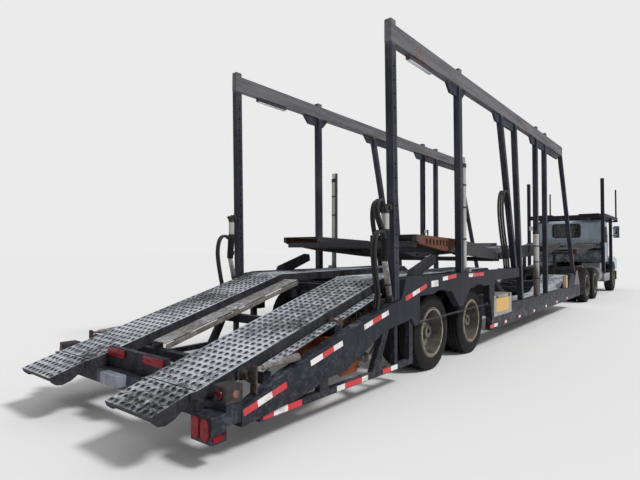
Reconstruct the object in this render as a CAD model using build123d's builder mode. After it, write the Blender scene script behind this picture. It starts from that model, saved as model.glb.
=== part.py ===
"""Car transporter: a stinger-steered tractor and its open two-level semitrailer, lowered and parked.

X points forward, Y to the vehicle's left and Z up. The origin is on the ground, in the middle of the
whole rig's box. All sizes are in millimetres.
"""

import math
import os

from build123d import *

os.makedirs("parts", exist_ok=True)

# Lengths along the rig, from the ramp tips to the front bumper
tail_to_rear_axle = 3850
trailer_axle_spacing = 1270
rear_axle_to_pivot = 8950
pivot_to_drive_axle = 1150
drive_axle_spacing = 1300
drive_to_steer_axle = 5200
steer_axle_to_bumper = 1070
overall_length = (
    tail_to_rear_axle + rear_axle_to_pivot + pivot_to_drive_axle + drive_to_steer_axle + steer_axle_to_bumper
)
rear_axle_x = tail_to_rear_axle - overall_length / 2
pivot_x = rear_axle_x + rear_axle_to_pivot
drive_x = pivot_x + pivot_to_drive_axle
steer_x = drive_x + drive_to_steer_axle
bumper_x = steer_x + steer_axle_to_bumper

# Widths: the side frames are the outermost steel, the posts stand on their top edges
half_width = 1295
frame_thickness = 95
frame_inner = half_width - frame_thickness
post_length = 95
post_width = 85
post_outer = half_width - 25
post_inner = post_outer - post_width
post_y = post_outer - post_width / 2
rail_bottom = 3700
rail_depth = 200

# Wheels
tyre_radius = 465
tyre_width = 255
dual_spacing = 290
dual_outer_face = half_width - 105
dual_y = dual_outer_face - tyre_width / 2 - dual_spacing / 2
drive_tyre_radius = 480
steer_tyre_radius = 500
steer_tyre_width = 280
steer_wheel_y = half_width - 245
rim_seat_radius = 286
rim_flange_radius = 308
spindle_radius = 35
bearing_gap = 0.1
hand_hole_radius = 28
hand_hole_circle = 195

# General clearances
moving_gap = 6
seat_gap = 0.3


def side_plane(x, y):
    """A plane facing the vehicle's right, with its origin on the ground at x and y."""
    return Plane(origin=(x, y, 0), x_dir=(1, 0, 0), z_dir=(0, -1, 0))


def side_sheet(x, outline, y_low, y_high, mode=Mode.ADD):
    """A plate with a side-view outline, given as (distance forward of x, height) points."""
    with BuildSketch(side_plane(x, y_high)) as face:
        with BuildLine():
            Polyline(*outline, close=True)
        make_face()
    extrude(face.sketch, amount=y_high - y_low, mode=mode)


def block(x_range, y_range, z_range, mode=Mode.ADD):
    """A box between two planes each way."""
    size = [high - low for low, high in (x_range, y_range, z_range)]
    centre = Vector(*[(high + low) / 2 for low, high in (x_range, y_range, z_range)])
    with Locations(centre):
        Box(*size, mode=mode)


def rod(start, end, radius, mode=Mode.ADD):
    """A round bar from one point to another."""
    path = Vector(*end) - Vector(*start)
    with BuildSketch(Plane(origin=start, z_dir=path)) as section:
        Circle(radius)
    extrude(section.sketch, amount=path.length, mode=mode)


def finish(part, name):
    """Labels a finished piece and writes it."""
    part.label = name
    export_step(part, f"parts/{name}.step")


# Tyres and rims.
# A dual wheel is two tyres on two dished discs, bolted face to face on one hub.

def tyre_profile(radius, width, centre):
    """Half section of a tyre as (distance along the axle, radius) points."""
    return [
        (centre - 0.40 * width, rim_seat_radius),
        (centre - 0.50 * width, 0.45 * rim_seat_radius + 0.55 * radius),
        (centre - 0.40 * width, radius),
        (centre + 0.40 * width, radius),
        (centre + 0.50 * width, 0.45 * rim_seat_radius + 0.55 * radius),
        (centre + 0.40 * width, rim_seat_radius),
    ]


def spun(x, height, outline, mode=Mode.ADD):
    """Turns an outline of (y, radius) points about an axle that lies across the vehicle."""
    with BuildSketch(Plane(origin=(x, 0, height), x_dir=(0, 1, 0), z_dir=(-1, 0, 0))) as section:
        with BuildLine():
            Polyline(*outline, close=True)
        make_face()
    revolve(section.sketch, axis=Axis((x, 0, height), (0, 1, 0)), mode=mode)


rim_thickness = 12
disc_thickness = 11
hub_radius = 110
hub_cap_radius = 78
hub_reach = 205
hub_inner_reach = 120
bead_half_width = 109
steer_bead_half_width = 119
flange_thickness = 8


def dual_rim_half(x, height, side, towards):
    """One dished steel wheel of a dual pair: its bead seat, its flanges and its disc."""
    near = side * (dual_y + towards * disc_thickness)
    face = side * dual_y
    inner = side * (dual_y + towards * (dual_spacing / 2 - bead_half_width - flange_thickness))
    outer = side * (dual_y + towards * (dual_spacing / 2 + bead_half_width + flange_thickness))
    spun(x, height, [
        (inner, rim_seat_radius - rim_thickness),
        (outer, rim_seat_radius - rim_thickness),
        (outer, rim_flange_radius),
        (outer - side * towards * flange_thickness, rim_flange_radius),
        (outer - side * towards * flange_thickness, rim_seat_radius),
        (inner + side * towards * flange_thickness, rim_seat_radius),
        (inner + side * towards * flange_thickness, rim_flange_radius),
        (inner, rim_flange_radius),
    ])
    spun(x, height, [
        (face, hub_radius - 1),
        (near, hub_radius - 1),
        (near, hub_radius + 80),
        (inner + side * towards * 50, rim_seat_radius - rim_thickness + 1),
        (inner + side * towards * 30, rim_seat_radius - rim_thickness + 1),
        (face, hub_radius + 110),
    ])


def dual_wheel(name, x, height, side, radius):
    """The tyres and the rims of a dual wheel, as two pieces."""
    with BuildPart() as tyres:
        for towards in (-1, 1):
            centre = side * (dual_y + towards * dual_spacing / 2)
            spun(x, height, tyre_profile(radius, tyre_width, centre))
    finish(tyres.part, f"{name}_tyres")
    with BuildPart() as rims:
        for towards in (-1, 1):
            dual_rim_half(x, height, side, towards)
        hub_points = [
            (-hub_inner_reach, spindle_radius + bearing_gap),
            (-hub_inner_reach, hub_radius),
            (hub_reach - 60, hub_radius),
            (hub_reach - 60, hub_cap_radius),
            (hub_reach, hub_cap_radius),
            (hub_reach, spindle_radius + bearing_gap),
        ]
        spun(x, height, [(side * (dual_y + y), r) for y, r in hub_points])
        with Locations(Location((x, side * dual_y, height), (90, 0, 0))):
            with PolarLocations(hand_hole_circle, 5):
                Cylinder(hand_hole_radius, 3 * disc_thickness, mode=Mode.SUBTRACT)
    finish(rims.part, f"{name}_rims")


axles = [
    # name, x, height, tyre radius
    ("trailer_rear_wheel", rear_axle_x, tyre_radius, tyre_radius),
    ("trailer_front_wheel", rear_axle_x + trailer_axle_spacing, tyre_radius, tyre_radius),
    ("drive_rear_wheel", drive_x, drive_tyre_radius, drive_tyre_radius),
    ("drive_front_wheel", drive_x + drive_axle_spacing, drive_tyre_radius, drive_tyre_radius),
]
for axle_name, axle_x, axle_height, axle_tyre_radius in axles:
    for side_name, side in (("left", 1), ("right", -1)):
        dual_wheel(f"{axle_name}_{side_name}", axle_x, axle_height, side, axle_tyre_radius)

steer_disc_y = 75
for side_name, side in (("left", 1), ("right", -1)):
    with BuildPart() as steer_tyre:
        spun(steer_x, steer_tyre_radius, tyre_profile(steer_tyre_radius, steer_tyre_width, side * steer_wheel_y))
    finish(steer_tyre.part, f"steer_tyre_{side_name}")
    with BuildPart() as steer_rim:
        lip = steer_bead_half_width + flange_thickness
        barrel = [
            (-lip, rim_seat_radius - rim_thickness),
            (lip, rim_seat_radius - rim_thickness),
            (lip, rim_flange_radius),
            (steer_bead_half_width, rim_flange_radius),
            (steer_bead_half_width, rim_seat_radius),
            (-steer_bead_half_width, rim_seat_radius),
            (-steer_bead_half_width, rim_flange_radius),
            (-lip, rim_flange_radius),
        ]
        disc = [
            (-15, spindle_radius + bearing_gap),
            (-15, hub_radius),
            (steer_disc_y - disc_thickness, hub_radius + 20),
            (20, rim_seat_radius - rim_thickness + 1),
            (40, rim_seat_radius - rim_thickness + 1),
            (steer_disc_y, hub_radius + 50),
            (steer_disc_y, hub_cap_radius),
            (118, hub_cap_radius),
            (118, spindle_radius + bearing_gap),
        ]
        for outline in (barrel, disc):
            spun(steer_x, steer_tyre_radius, [(side * (steer_wheel_y + y), r) for y, r in outline])
        with Locations(Location((steer_x, side * (steer_wheel_y + 50), steer_tyre_radius), (90, 0, 0))):
            with PolarLocations(hand_hole_circle + 20, 8):
                Cylinder(hand_hole_radius, 120, mode=Mode.SUBTRACT)
    finish(steer_rim.part, f"steer_rim_{side_name}")

# Side frames.
# Each is a sloping tail beam, a high beam arched over the tandem and a deep, low girder in front.

arch_radius = 530
beam_top = 1180
beam_bottom = 1020
girder_top = 600
girder_rear_bottom = 270
girder_front_bottom = 330
girder_end = 8430
tool_box_rear = 1880
tool_box_front = 2740
tool_box_bottom = 460
tool_box_top = 780
beam_end = 3200
foot_rail_height = 250
foot_rail_half = 30

frame_outline = [
    # distance forward of the rear axle, height
    (-3240, 240),
    (-3240, 370),
    (-2780, 530),
    (-1970, 740),
    (-1220, 910),
    (-985, 950),
    (-880, 1160),
    (-700, beam_top),
    (beam_end, beam_top),
    (beam_end, beam_bottom),
    (1930, beam_bottom),
    (1930, girder_top),
    (7050, girder_top),
    (7380, 920),
    (7650, 920),
    (girder_end, 600),
    (girder_end, girder_front_bottom),
    (1700, girder_rear_bottom),
    (1700, beam_bottom - 60),
    (950, beam_bottom - 60),
    (690, 735),
    (580, 735),
    (320, beam_bottom - 60),
    (-560, beam_bottom - 60),
    (-560, 640),
    (-690, 640),
    (-760, 720),
    (-1310, 660),
    (-2020, 390),
    (-2240, 380),
    (-2630, 300),
]
guard_legs = [
    # top rear, top front, bottom front, bottom rear, each as distance and height
    ((-2350, 420), (-2230, 420), (-2230, 240), (-2350, 240)),
    ((-1300, 680), (-1190, 690), (-1440, 240), (-1560, 240)),
    ((-1100, 720), (-1040, 720), (-1040, 240), (-1100, 240)),
    ((-780, 730), (-700, 730), (-700, 240), (-780, 240)),
]


def frame_top(x):
    """Height of a side frame's top edge at a distance forward of the rear axle."""
    top_edge = [(x_at, z) for x_at, z in frame_outline[1:frame_outline.index((beam_end, beam_top)) + 1]]
    if x > beam_end:
        top_edge = [(1930, girder_top), (7050, girder_top), (7380, 920), (7650, 920), (girder_end, 600)]
    for (x_low, z_low), (x_high, z_high) in zip(top_edge, top_edge[1:]):
        if x_low <= x <= x_high:
            return z_low + (z_high - z_low) * (x - x_low) / (x_high - x_low)
    raise ValueError(x)


with BuildPart() as side_frames:
    for side in (1, -1):
        y_low, y_high = sorted((side * frame_inner, side * half_width))
        leg_low, leg_high = sorted((side * (frame_inner + 20), side * (half_width - 20)))
        side_sheet(rear_axle_x, frame_outline, y_low, y_high)
        for axle_at in (0, trailer_axle_spacing):
            with BuildSketch(side_plane(rear_axle_x, y_high)) as arch:
                with Locations((axle_at, tyre_radius)):
                    Circle(arch_radius)
            extrude(arch.sketch, amount=frame_thickness, mode=Mode.SUBTRACT)
        for leg in guard_legs:
            side_sheet(rear_axle_x, leg, leg_low, leg_high)
        block(
            (rear_axle_x - 3050, rear_axle_x - 700),
            (leg_low, leg_high),
            (foot_rail_height - foot_rail_half, foot_rail_height + foot_rail_half),
        )
    block(
        (rear_axle_x + tool_box_rear, rear_axle_x + tool_box_front),
        (-half_width, -frame_inner),
        (tool_box_bottom, tool_box_top),
        mode=Mode.SUBTRACT,
    )
finish(side_frames.part, "side_frames")

# Lower runways.
# Two pressed channels climb from the tail over the tandem, drop into the belly and rise at the front.

runway_inner = 450
runway_outer = frame_inner - 125
runway_depth = 100
sheet = 10
hinge_x = -3450
runway_line = [
    # distance forward of the rear axle, height of the tread
    (hinge_x, 500),
    (-1000, 1170),
    (2250, 1200),
    (3700, 460),
    (6900, 460),
    (8050, 860),
]


def tread_height(x):
    """Height of the runway's tread at a distance forward of the rear axle."""
    for (x_low, z_low), (x_high, z_high) in zip(runway_line, runway_line[1:]):
        if x_low <= x <= x_high:
            return z_low + (z_high - z_low) * (x - x_low) / (x_high - x_low)
    raise ValueError(x)


strip_outer = frame_inner - 5
strip_width = 105
strip_ends = (-2940, -1215)
strip_line = [(x, tread_height(x) - runway_depth + sheet) for x in strip_ends]
flap_pin_radius = 14
flap_pin_x = hinge_x - flap_pin_radius - moving_gap
flap_pin_z = runway_line[0][1] - flap_pin_radius
flap_lug_reach = 36
hole_length = 40
hole_width = 25
hole_pitch = 75
hole_columns = 8
hole_rows = 32
hole_margin = (runway_outer - runway_inner - (hole_columns - 1) * hole_pitch) / 2
tail_slope = math.degrees(math.atan2(runway_line[1][1] - runway_line[0][1], runway_line[1][0] - hinge_x))
guard_plate = [(-490, 1135), (-200, 1140), (-60, 1195), (320, 1320), (300, 1420), (180, 1430), (-420, 1250)]


def staggered(start, rows):
    """Middles of the perforations, as (distance up the ramp, distance out from the runway's inner edge)."""
    return [
        (start + row * hole_pitch, hole_margin + column * hole_pitch)
        for row in range(rows)
        for column in range(row % 2, hole_columns, 2)
    ]


def band(line, depth):
    """The outline of a strip whose top edge follows a line."""
    return [*line, *[(x, z - depth) for x, z in reversed(line)]]


with BuildPart() as runways:
    for side in (1, -1):
        inner, outer = side * runway_inner, side * runway_outer
        side_sheet(rear_axle_x, band(runway_line, sheet), *sorted((inner, outer)))
        for edge, towards in ((inner, side), (outer, -side)):
            side_sheet(rear_axle_x, band(runway_line, runway_depth), *sorted((edge, edge + towards * sheet)))
        slope_start = Plane(
            origin=(rear_axle_x + hinge_x, inner, runway_line[0][1]),
            x_dir=(math.cos(math.radians(tail_slope)), 0, math.sin(math.radians(tail_slope))),
            z_dir=(-math.sin(math.radians(tail_slope)), 0, math.cos(math.radians(tail_slope))),
        )
        with BuildSketch(slope_start) as holes:
            with Locations(*[(x, side * y) for x, y in staggered(60, hole_rows)]):
                Rectangle(hole_length, hole_width)
        extrude(holes.sketch, amount=2 * sheet, both=True, mode=Mode.SUBTRACT)
        side_sheet(
            rear_axle_x, band(strip_line, sheet), *sorted((side * strip_outer, side * (strip_outer - strip_width)))
        )
        side_sheet(rear_axle_x, guard_plate, *sorted((outer, outer + side * 8)))
        # Ears behind the tail end, bored for the flap's hinge pin
        for edge, towards in ((inner, side), (outer, -side)):
            block(
                (rear_axle_x + flap_pin_x - flap_lug_reach, rear_axle_x + hinge_x + 30),
                sorted((edge, edge + towards * sheet)),
                (flap_pin_z - flap_lug_reach, runway_line[0][1] - 1),
            )
        rod(
            (rear_axle_x + flap_pin_x, inner - side, flap_pin_z),
            (rear_axle_x + flap_pin_x, outer + side, flap_pin_z),
            flap_pin_radius + bearing_gap,
            mode=Mode.SUBTRACT,
        )
finish(runways.part, "runways")

# Ramp flaps.
# A short perforated flap is hinged on a pin at the tail end of each runway.

flap_tip_x = -3850
flap_tip_height = 345
flap_hole_rows = 4


def ramp_flap(name, side):
    """One flap: a tapered tread, two side cheeks and the hinge pin through them."""
    inner, outer = side * (runway_inner + 20), side * (runway_outer - 20)
    rear_line = [(flap_tip_x, flap_tip_height), (flap_pin_x, flap_pin_z + flap_pin_radius)]
    with BuildPart() as flap:
        side_sheet(rear_axle_x, band(rear_line, sheet), *sorted((inner, outer)))
        cheek = [
            rear_line[0],
            (flap_pin_x, flap_pin_z + flap_pin_radius - 2),
            (flap_pin_x, flap_pin_z - flap_pin_radius),
            (flap_pin_x - 30, flap_pin_z - 55),
            (flap_tip_x + 60, flap_tip_height - 10),
        ]
        for edge, towards in ((inner, side), (outer, -side)):
            side_sheet(rear_axle_x, cheek, *sorted((edge, edge + towards * sheet)))
        rod(
            (rear_axle_x + flap_pin_x, side * runway_inner, flap_pin_z),
            (rear_axle_x + flap_pin_x, side * runway_outer, flap_pin_z),
            flap_pin_radius,
        )
        with BuildSketch(Plane.XY.offset(flap_tip_height - 40)) as holes:
            with Locations(*[
                (rear_axle_x + flap_tip_x + x, side * (runway_inner + y)) for x, y in staggered(55, flap_hole_rows)
            ]):
                Rectangle(hole_length, hole_width)
        extrude(holes.sketch, amount=flap_pin_z - flap_tip_height + 100, mode=Mode.SUBTRACT)
    finish(flap.part, name)


ramp_flap("ramp_flap_left", 1)
ramp_flap("ramp_flap_right", -1)

# Cross members and tongue.
# Box tubes tie the side frames together under the runways, and the tongue ends in the coupling eye.

tube_width = 80
tube_depth = 85
cross_tubes = (-2900, -2000, -915, 2150, 3800, 4600, 5400, 6200, 6850, 7450)
tandem_tubes = (-640, 635, 1900)
tail_member_x = (-3375, -3240)
coupling_pin_radius = 45
coupling_radius = 130
tongue_bottom = 535
tongue_top = 635
lamp_box_x = (-3500, -3370)
lamp_box_z = (190, 375)
lamp_box_inner = half_width - 225
spring_rail_y = (460, 540)
spring_rail_z = (850, 970)

with BuildPart() as cross_members:
    for x in cross_tubes:
        top = min(tread_height(x - tube_width / 2), tread_height(x + tube_width / 2)) - runway_depth - seat_gap
        block(
            (rear_axle_x + x - tube_width / 2, rear_axle_x + x + tube_width / 2),
            (-frame_inner, frame_inner),
            (top - tube_depth, top),
        )
    for x in tandem_tubes:
        top = tread_height(x - tube_width / 2) - runway_depth - seat_gap
        block(
            (rear_axle_x + x - tube_width / 2, rear_axle_x + x + tube_width / 2),
            (-frame_inner, frame_inner),
            (spring_rail_z[1], top),
        )
    for side in (1, -1):
        block(
            (rear_axle_x + tandem_tubes[0] - 150, rear_axle_x + tandem_tubes[-1] + 120),
            sorted((side * spring_rail_y[0], side * spring_rail_y[1])),
            spring_rail_z,
        )
        # Lamp box at the outer end of the tail member
        block(
            (rear_axle_x + lamp_box_x[0], rear_axle_x + lamp_box_x[1]),
            sorted((side * lamp_box_inner, side * (half_width - 5))),
            lamp_box_z,
        )
    tail_member_top = tread_height(tail_member_x[0]) - runway_depth - seat_gap
    block(
        (rear_axle_x + tail_member_x[0], rear_axle_x + tail_member_x[1]),
        (-half_width + 5, half_width - 5),
        (tail_member_top - 140, tail_member_top),
    )
    # Front beam and tongue
    block(
        (rear_axle_x + girder_end - 90, rear_axle_x + girder_end),
        (-frame_inner, frame_inner),
        (340, 590),
    )
    with BuildSketch(Plane.XY.offset(tongue_bottom)) as tongue:
        with BuildLine():
            Polyline(
                (rear_axle_x + girder_end - 10, -520),
                (pivot_x, -coupling_radius),
                (pivot_x, coupling_radius),
                (rear_axle_x + girder_end - 10, 520),
                close=True,
            )
        make_face()
        with Locations((pivot_x, 0)):
            Circle(coupling_radius)
            Circle(coupling_pin_radius + bearing_gap, mode=Mode.SUBTRACT)
    extrude(tongue.sketch, amount=tongue_top - tongue_bottom)
finish(cross_members.part, "cross_members")

# Tail lamps: two upright oval lenses in each lamp box.

lens_width = 80
lens_height = 148
lens_depth = 14
with BuildPart() as tail_lamps:
    for side in (1, -1):
        for lens_y in (half_width - 167, half_width - 67):
            with BuildSketch(Plane(
                origin=(rear_axle_x + lamp_box_x[0], side * lens_y, sum(lamp_box_z) / 2),
                x_dir=(0, -1, 0),
                z_dir=(-1, 0, 0),
            )) as lens:
                SlotOverall(lens_height, lens_width, rotation=90)
            extrude(lens.sketch, amount=lens_depth)
finish(tail_lamps.part, "tail_lamps")

# Post frames.
# Six posts a side carry the top rail; some lean, the rearmost is drilled for pins and the fifth is a channel
# that stands on a lift cylinder.

upright_posts = [
    # top distance from the rear axle, foot distance, top height
    (-1093, -1030, 3950),
    (705, 740, 3950),
    (2385, 3140, 3800),
    (3160, 3500, rail_bottom + 150),
    (5235, 5240, 3950),
    (6650, 8020, 3720),
]
channel_post_x = 4550
channel_wall = 12
barrel_tops = {"tail": 1870, "rear": 2720, "front": 1870}
rail_ends = (-1140, 6710)
rail_gussets = ((310, 950), (2080, 3230), (4130, 6450))
gusset_depth = 130
lamp_bar = (-700, -110)
lamp_bar_half = 28
lamp_bar_depth = 45
pin_hole_radius = 13
pin_hole_pitch = 150
pin_hole_count = 15
pin_hole_start = 1350
drilled_top, drilled_foot, drilled_height = upright_posts[0]


def drilled_post_x(height):
    """Distance forward of the rear axle of the drilled post's middle at a height."""
    foot_height = frame_top(drilled_foot)
    return drilled_foot + (drilled_top - drilled_foot) * (height - foot_height) / (drilled_height - foot_height)


with BuildPart() as post_frames:
    for side in (1, -1):
        post_low, post_high = sorted((side * post_inner, side * post_outer))
        for top_x, foot_x, top_z in upright_posts:
            half = post_length / 2
            side_sheet(
                rear_axle_x,
                [
                    (top_x - half, top_z),
                    (top_x + half, top_z),
                    (foot_x + half, frame_top(foot_x + half) + seat_gap),
                    (foot_x - half, frame_top(foot_x - half) + seat_gap),
                ],
                post_low,
                post_high,
            )
        # The channel post, open towards the decks
        channel_x = (rear_axle_x + channel_post_x - post_length / 2, rear_axle_x + channel_post_x + post_length / 2)
        channel_foot = barrel_tops["front"] + seat_gap
        block(channel_x, (post_low, post_high), (channel_foot, 3950))
        block(
            (channel_x[0] + channel_wall, channel_x[1] - channel_wall),
            sorted((side * post_inner, side * (post_outer - channel_wall))),
            (channel_foot, rail_bottom),
            mode=Mode.SUBTRACT,
        )
        block(
            (rear_axle_x + rail_ends[0], rear_axle_x + rail_ends[1]),
            (post_low, post_high),
            (rail_bottom, rail_bottom + rail_depth),
        )
        # Housing of the lamp bar under the rail's rear end
        block(
            (rear_axle_x + lamp_bar[0], rear_axle_x + lamp_bar[1]),
            sorted((side * (post_y - lamp_bar_half), side * (post_y + lamp_bar_half))),
            (rail_bottom - lamp_bar_depth, rail_bottom),
        )
        for rear, front in rail_gussets:
            side_sheet(
                rear_axle_x,
                [
                    (rear, rail_bottom),
                    (front, rail_bottom),
                    (front - gusset_depth, rail_bottom - gusset_depth),
                    (rear + gusset_depth, rail_bottom - gusset_depth),
                ],
                post_low + 25,
                post_high - 25,
            )
        block(
            (channel_x[0] + channel_wall, channel_x[1] - channel_wall),
            sorted((side * post_inner, side * (post_outer - channel_wall))),
            (rail_bottom - gusset_depth - 1, rail_bottom),
            mode=Mode.SUBTRACT,
        )
        for step in range(pin_hole_count):
            hole_z = pin_hole_start + step * pin_hole_pitch
            with Locations(Location((rear_axle_x + drilled_post_x(hole_z), side * post_y, hole_z), (90, 0, 0))):
                Cylinder(pin_hole_radius, post_width + 2, mode=Mode.SUBTRACT)
finish(post_frames.part, "post_frames")

# Lift cylinders.
# A barrel stands on each side frame beside a post, and its rod lifts the deck by a strap down from its eye.
# The pair behind the drilled posts is drawn with its rods in, pinned to clamps on the posts.

rear_barrel_radius = 40
rear_rod_radius = 22
rear_barrel_y = post_inner - moving_gap - rear_rod_radius
strap_thickness = 12
deck_half_width = rear_barrel_y - rear_barrel_radius - moving_gap - strap_thickness
strap_half_width = 25
eye_height = 90
barrel_floor = 60
barrels = {
    # cylinder: (distance from the rear axle, distance from the middle, barrel radius, rod radius)
    "tail": (-1165, post_outer - 48, 55, 30),
    "rear": (1060, rear_barrel_y, rear_barrel_radius, rear_rod_radius),
    "front": (channel_post_x, post_y, 55, 25),
}
lift_rod_clearance = 0.4
foot_reach = half_width - 40
tail_eye = 90

with BuildPart() as lift_barrels:
    for name, (barrel_x, barrel_y, barrel_radius, rod_radius) in barrels.items():
        x = rear_axle_x + barrel_x
        foot = max(frame_top(barrel_x - barrel_radius), frame_top(barrel_x + barrel_radius)) + 30
        for side in (1, -1):
            with BuildSketch(Plane.XY.offset(foot)) as ring:
                with Locations((x, side * barrel_y)):
                    Circle(barrel_radius)
            extrude(ring.sketch, amount=barrel_tops[name] - foot)
            if name != "tail":
                with BuildSketch(Plane.XY.offset(foot + barrel_floor)) as bore:
                    with Locations((x, side * barrel_y)):
                        Circle(rod_radius + lift_rod_clearance)
                extrude(bore.sketch, amount=barrel_tops[name] - foot, mode=Mode.SUBTRACT)
            side_sheet(
                rear_axle_x,
                [
                    (barrel_x - barrel_radius, frame_top(barrel_x - barrel_radius) + seat_gap),
                    (barrel_x + barrel_radius, frame_top(barrel_x + barrel_radius) + seat_gap),
                    (barrel_x + barrel_radius, foot),
                    (barrel_x - barrel_radius, foot),
                ],
                *sorted((side * (barrel_y - barrel_radius + 8), side * max(barrel_y + barrel_radius - 8, foot_reach))),
            )
            if name == "tail":
                rod((x, side * barrel_y, barrel_tops[name]), (x, side * barrel_y, barrel_tops[name] + tail_eye), rod_radius)
                block(
                    (x - 28, rear_axle_x + drilled_post_x(barrel_tops[name] + tail_eye + 40) - post_length / 2 - seat_gap),
                    sorted((side * (barrel_y - 30), side * (barrel_y + 30))),
                    (barrel_tops[name] + tail_eye - 10, barrel_tops[name] + tail_eye + 40),
                )
finish(lift_barrels.part, "lift_barrels")

# Lift hoses.
# One loops over from each tail cylinder's eye and runs down its barrel, and one loops up the leaning post.

hose_radius = 17
clip_half = 14
loop_post_top, loop_post_foot, loop_post_height = upright_posts[2]


def hose(points, start, end, radius):
    """A round hose along a smooth curve through its points, which leaves and ends in given directions."""
    with BuildLine() as route:
        Spline(*points, tangents=(start, end))
    with BuildSketch(Plane(origin=points[0], z_dir=route.line % 0)) as section:
        Circle(radius)
    sweep(section.sketch, path=route.line)


def loop_post_x(height):
    """Distance forward of the rear axle of the leaning post's rear face at a height."""
    share = (height - beam_top) / (loop_post_height - beam_top)
    return loop_post_foot + (loop_post_top - loop_post_foot) * share - post_length / 2


with BuildPart() as lift_hoses:
    tail_x, tail_y, tail_barrel_radius, tail_rod_radius = barrels["tail"]
    behind_x = tail_x - tail_barrel_radius - hose_radius - 8
    eye_z = barrel_tops["tail"] + tail_eye + 15
    for side in (1, -1):
        hose(
            [
                (rear_axle_x + x, side * tail_y, z)
                for x, z in (
                    (tail_x - 28 - seat_gap, eye_z),
                    (tail_x - 95, eye_z + 15),
                    (tail_x - 150, eye_z - 40),
                    (tail_x - 165, eye_z - 140),
                    (behind_x - 12, eye_z - 290),
                    (behind_x, eye_z - 450),
                    (behind_x, frame_top(behind_x - hose_radius) + 250),
                    (behind_x, frame_top(behind_x + hose_radius) + seat_gap),
                )
            ],
            (-1, 0, 0),
            (0, 0, -1),
            hose_radius,
        )
        for clip_z in (barrel_tops["tail"] - 420, barrel_tops["tail"] - 720):
            block(
                (rear_axle_x + behind_x, rear_axle_x + tail_x - tail_barrel_radius - seat_gap),
                sorted((side * (tail_y - clip_half), side * (tail_y + clip_half))),
                (clip_z - clip_half, clip_z + clip_half),
            )
        hose(
            [
                (rear_axle_x + x, side * post_y, z)
                for x, z in (
                    (loop_post_x(beam_top) - 52, beam_top + seat_gap),
                    (loop_post_x(1400) - 30, 1400),
                    (loop_post_x(1750) - 30, 1750),
                    (loop_post_x(2150) - 30, 2150),
                    (loop_post_x(2330) - 60, 2350),
                    (2570, 2430),
                    (2450, 2340),
                    (2420, 2150),
                    (2470, 1900),
                    (2570, 1650),
                    (2680, 1400),
                    (2730, beam_top + seat_gap),
                )
            ],
            (0, 0, 1),
            (0, 0, -1),
            hose_radius,
        )
        for clip_z in (1400, 1750, 2150):
            block(
                (rear_axle_x + loop_post_x(clip_z) - 30, rear_axle_x + loop_post_x(clip_z + clip_half) - seat_gap),
                sorted((side * (post_y - clip_half), side * (post_y + clip_half))),
                (clip_z - clip_half, clip_z + clip_half),
            )
finish(lift_hoses.part, "lift_hoses")

# Winch bar, stowed across the tandem on the vehicle's right, with the ring of its socket.

winch_bar_radius = 11
winch_bar_y = (frame_inner + half_width) / 2
with BuildPart() as winch_bar:
    rod(
        (rear_axle_x - 560 + seat_gap, -winch_bar_y, 650),
        (rear_axle_x + 1700 - seat_gap, -winch_bar_y, 672),
        winch_bar_radius,
    )
    rod((rear_axle_x + 1640, -winch_bar_y, 671), (rear_axle_x + 1700 - seat_gap, -winch_bar_y, 672), 26)
finish(winch_bar.part, "winch_bar")

# Upper decks.
# Each has two perforated runways between tapered side girders, tied by cross tubes.

deck_girder = 50
deck_runway_inner = 440
deck_tube = 70
deck_lines = {
    # deck: girder outline, heights of the tread as (distance, height), distances of the cross tubes,
    # distance of the post that its shoes run on
    "rear": (
        [(-270, 1675), (1000, 1640), (1900, 1570), (2690, 1440), (2690, 1330), (1900, 1370), (500, 1480),
         (-150, 1560), (-270, 1600)],
        [(-270, 1675), (1000, 1640), (1900, 1570), (2690, 1440)],
        (-190, 400, 1500, 2600),
        740,
    ),
    "front": (
        [(2770, 1440), (3900, 1580), (6300, 1600), (7250, 1690), (7250, 1590), (6300, 1430), (4400, 1360),
         (2770, 1330)],
        [(2770, 1440), (3900, 1580), (6300, 1600), (7250, 1690)],
        (2860, 4100, 5400, 6200, 7150),
        5240,
    ),
}
slot_places = range(20, 940, 100)
shoe_half_length = 65


def deck_tread(line, x):
    """Height of a deck's tread at a distance forward of the rear axle."""
    for (x_low, z_low), (x_high, z_high) in zip(line, line[1:]):
        if x_low <= x <= x_high:
            return z_low + (z_high - z_low) * (x - x_low) / (x_high - x_low)
    raise ValueError(x)


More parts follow.
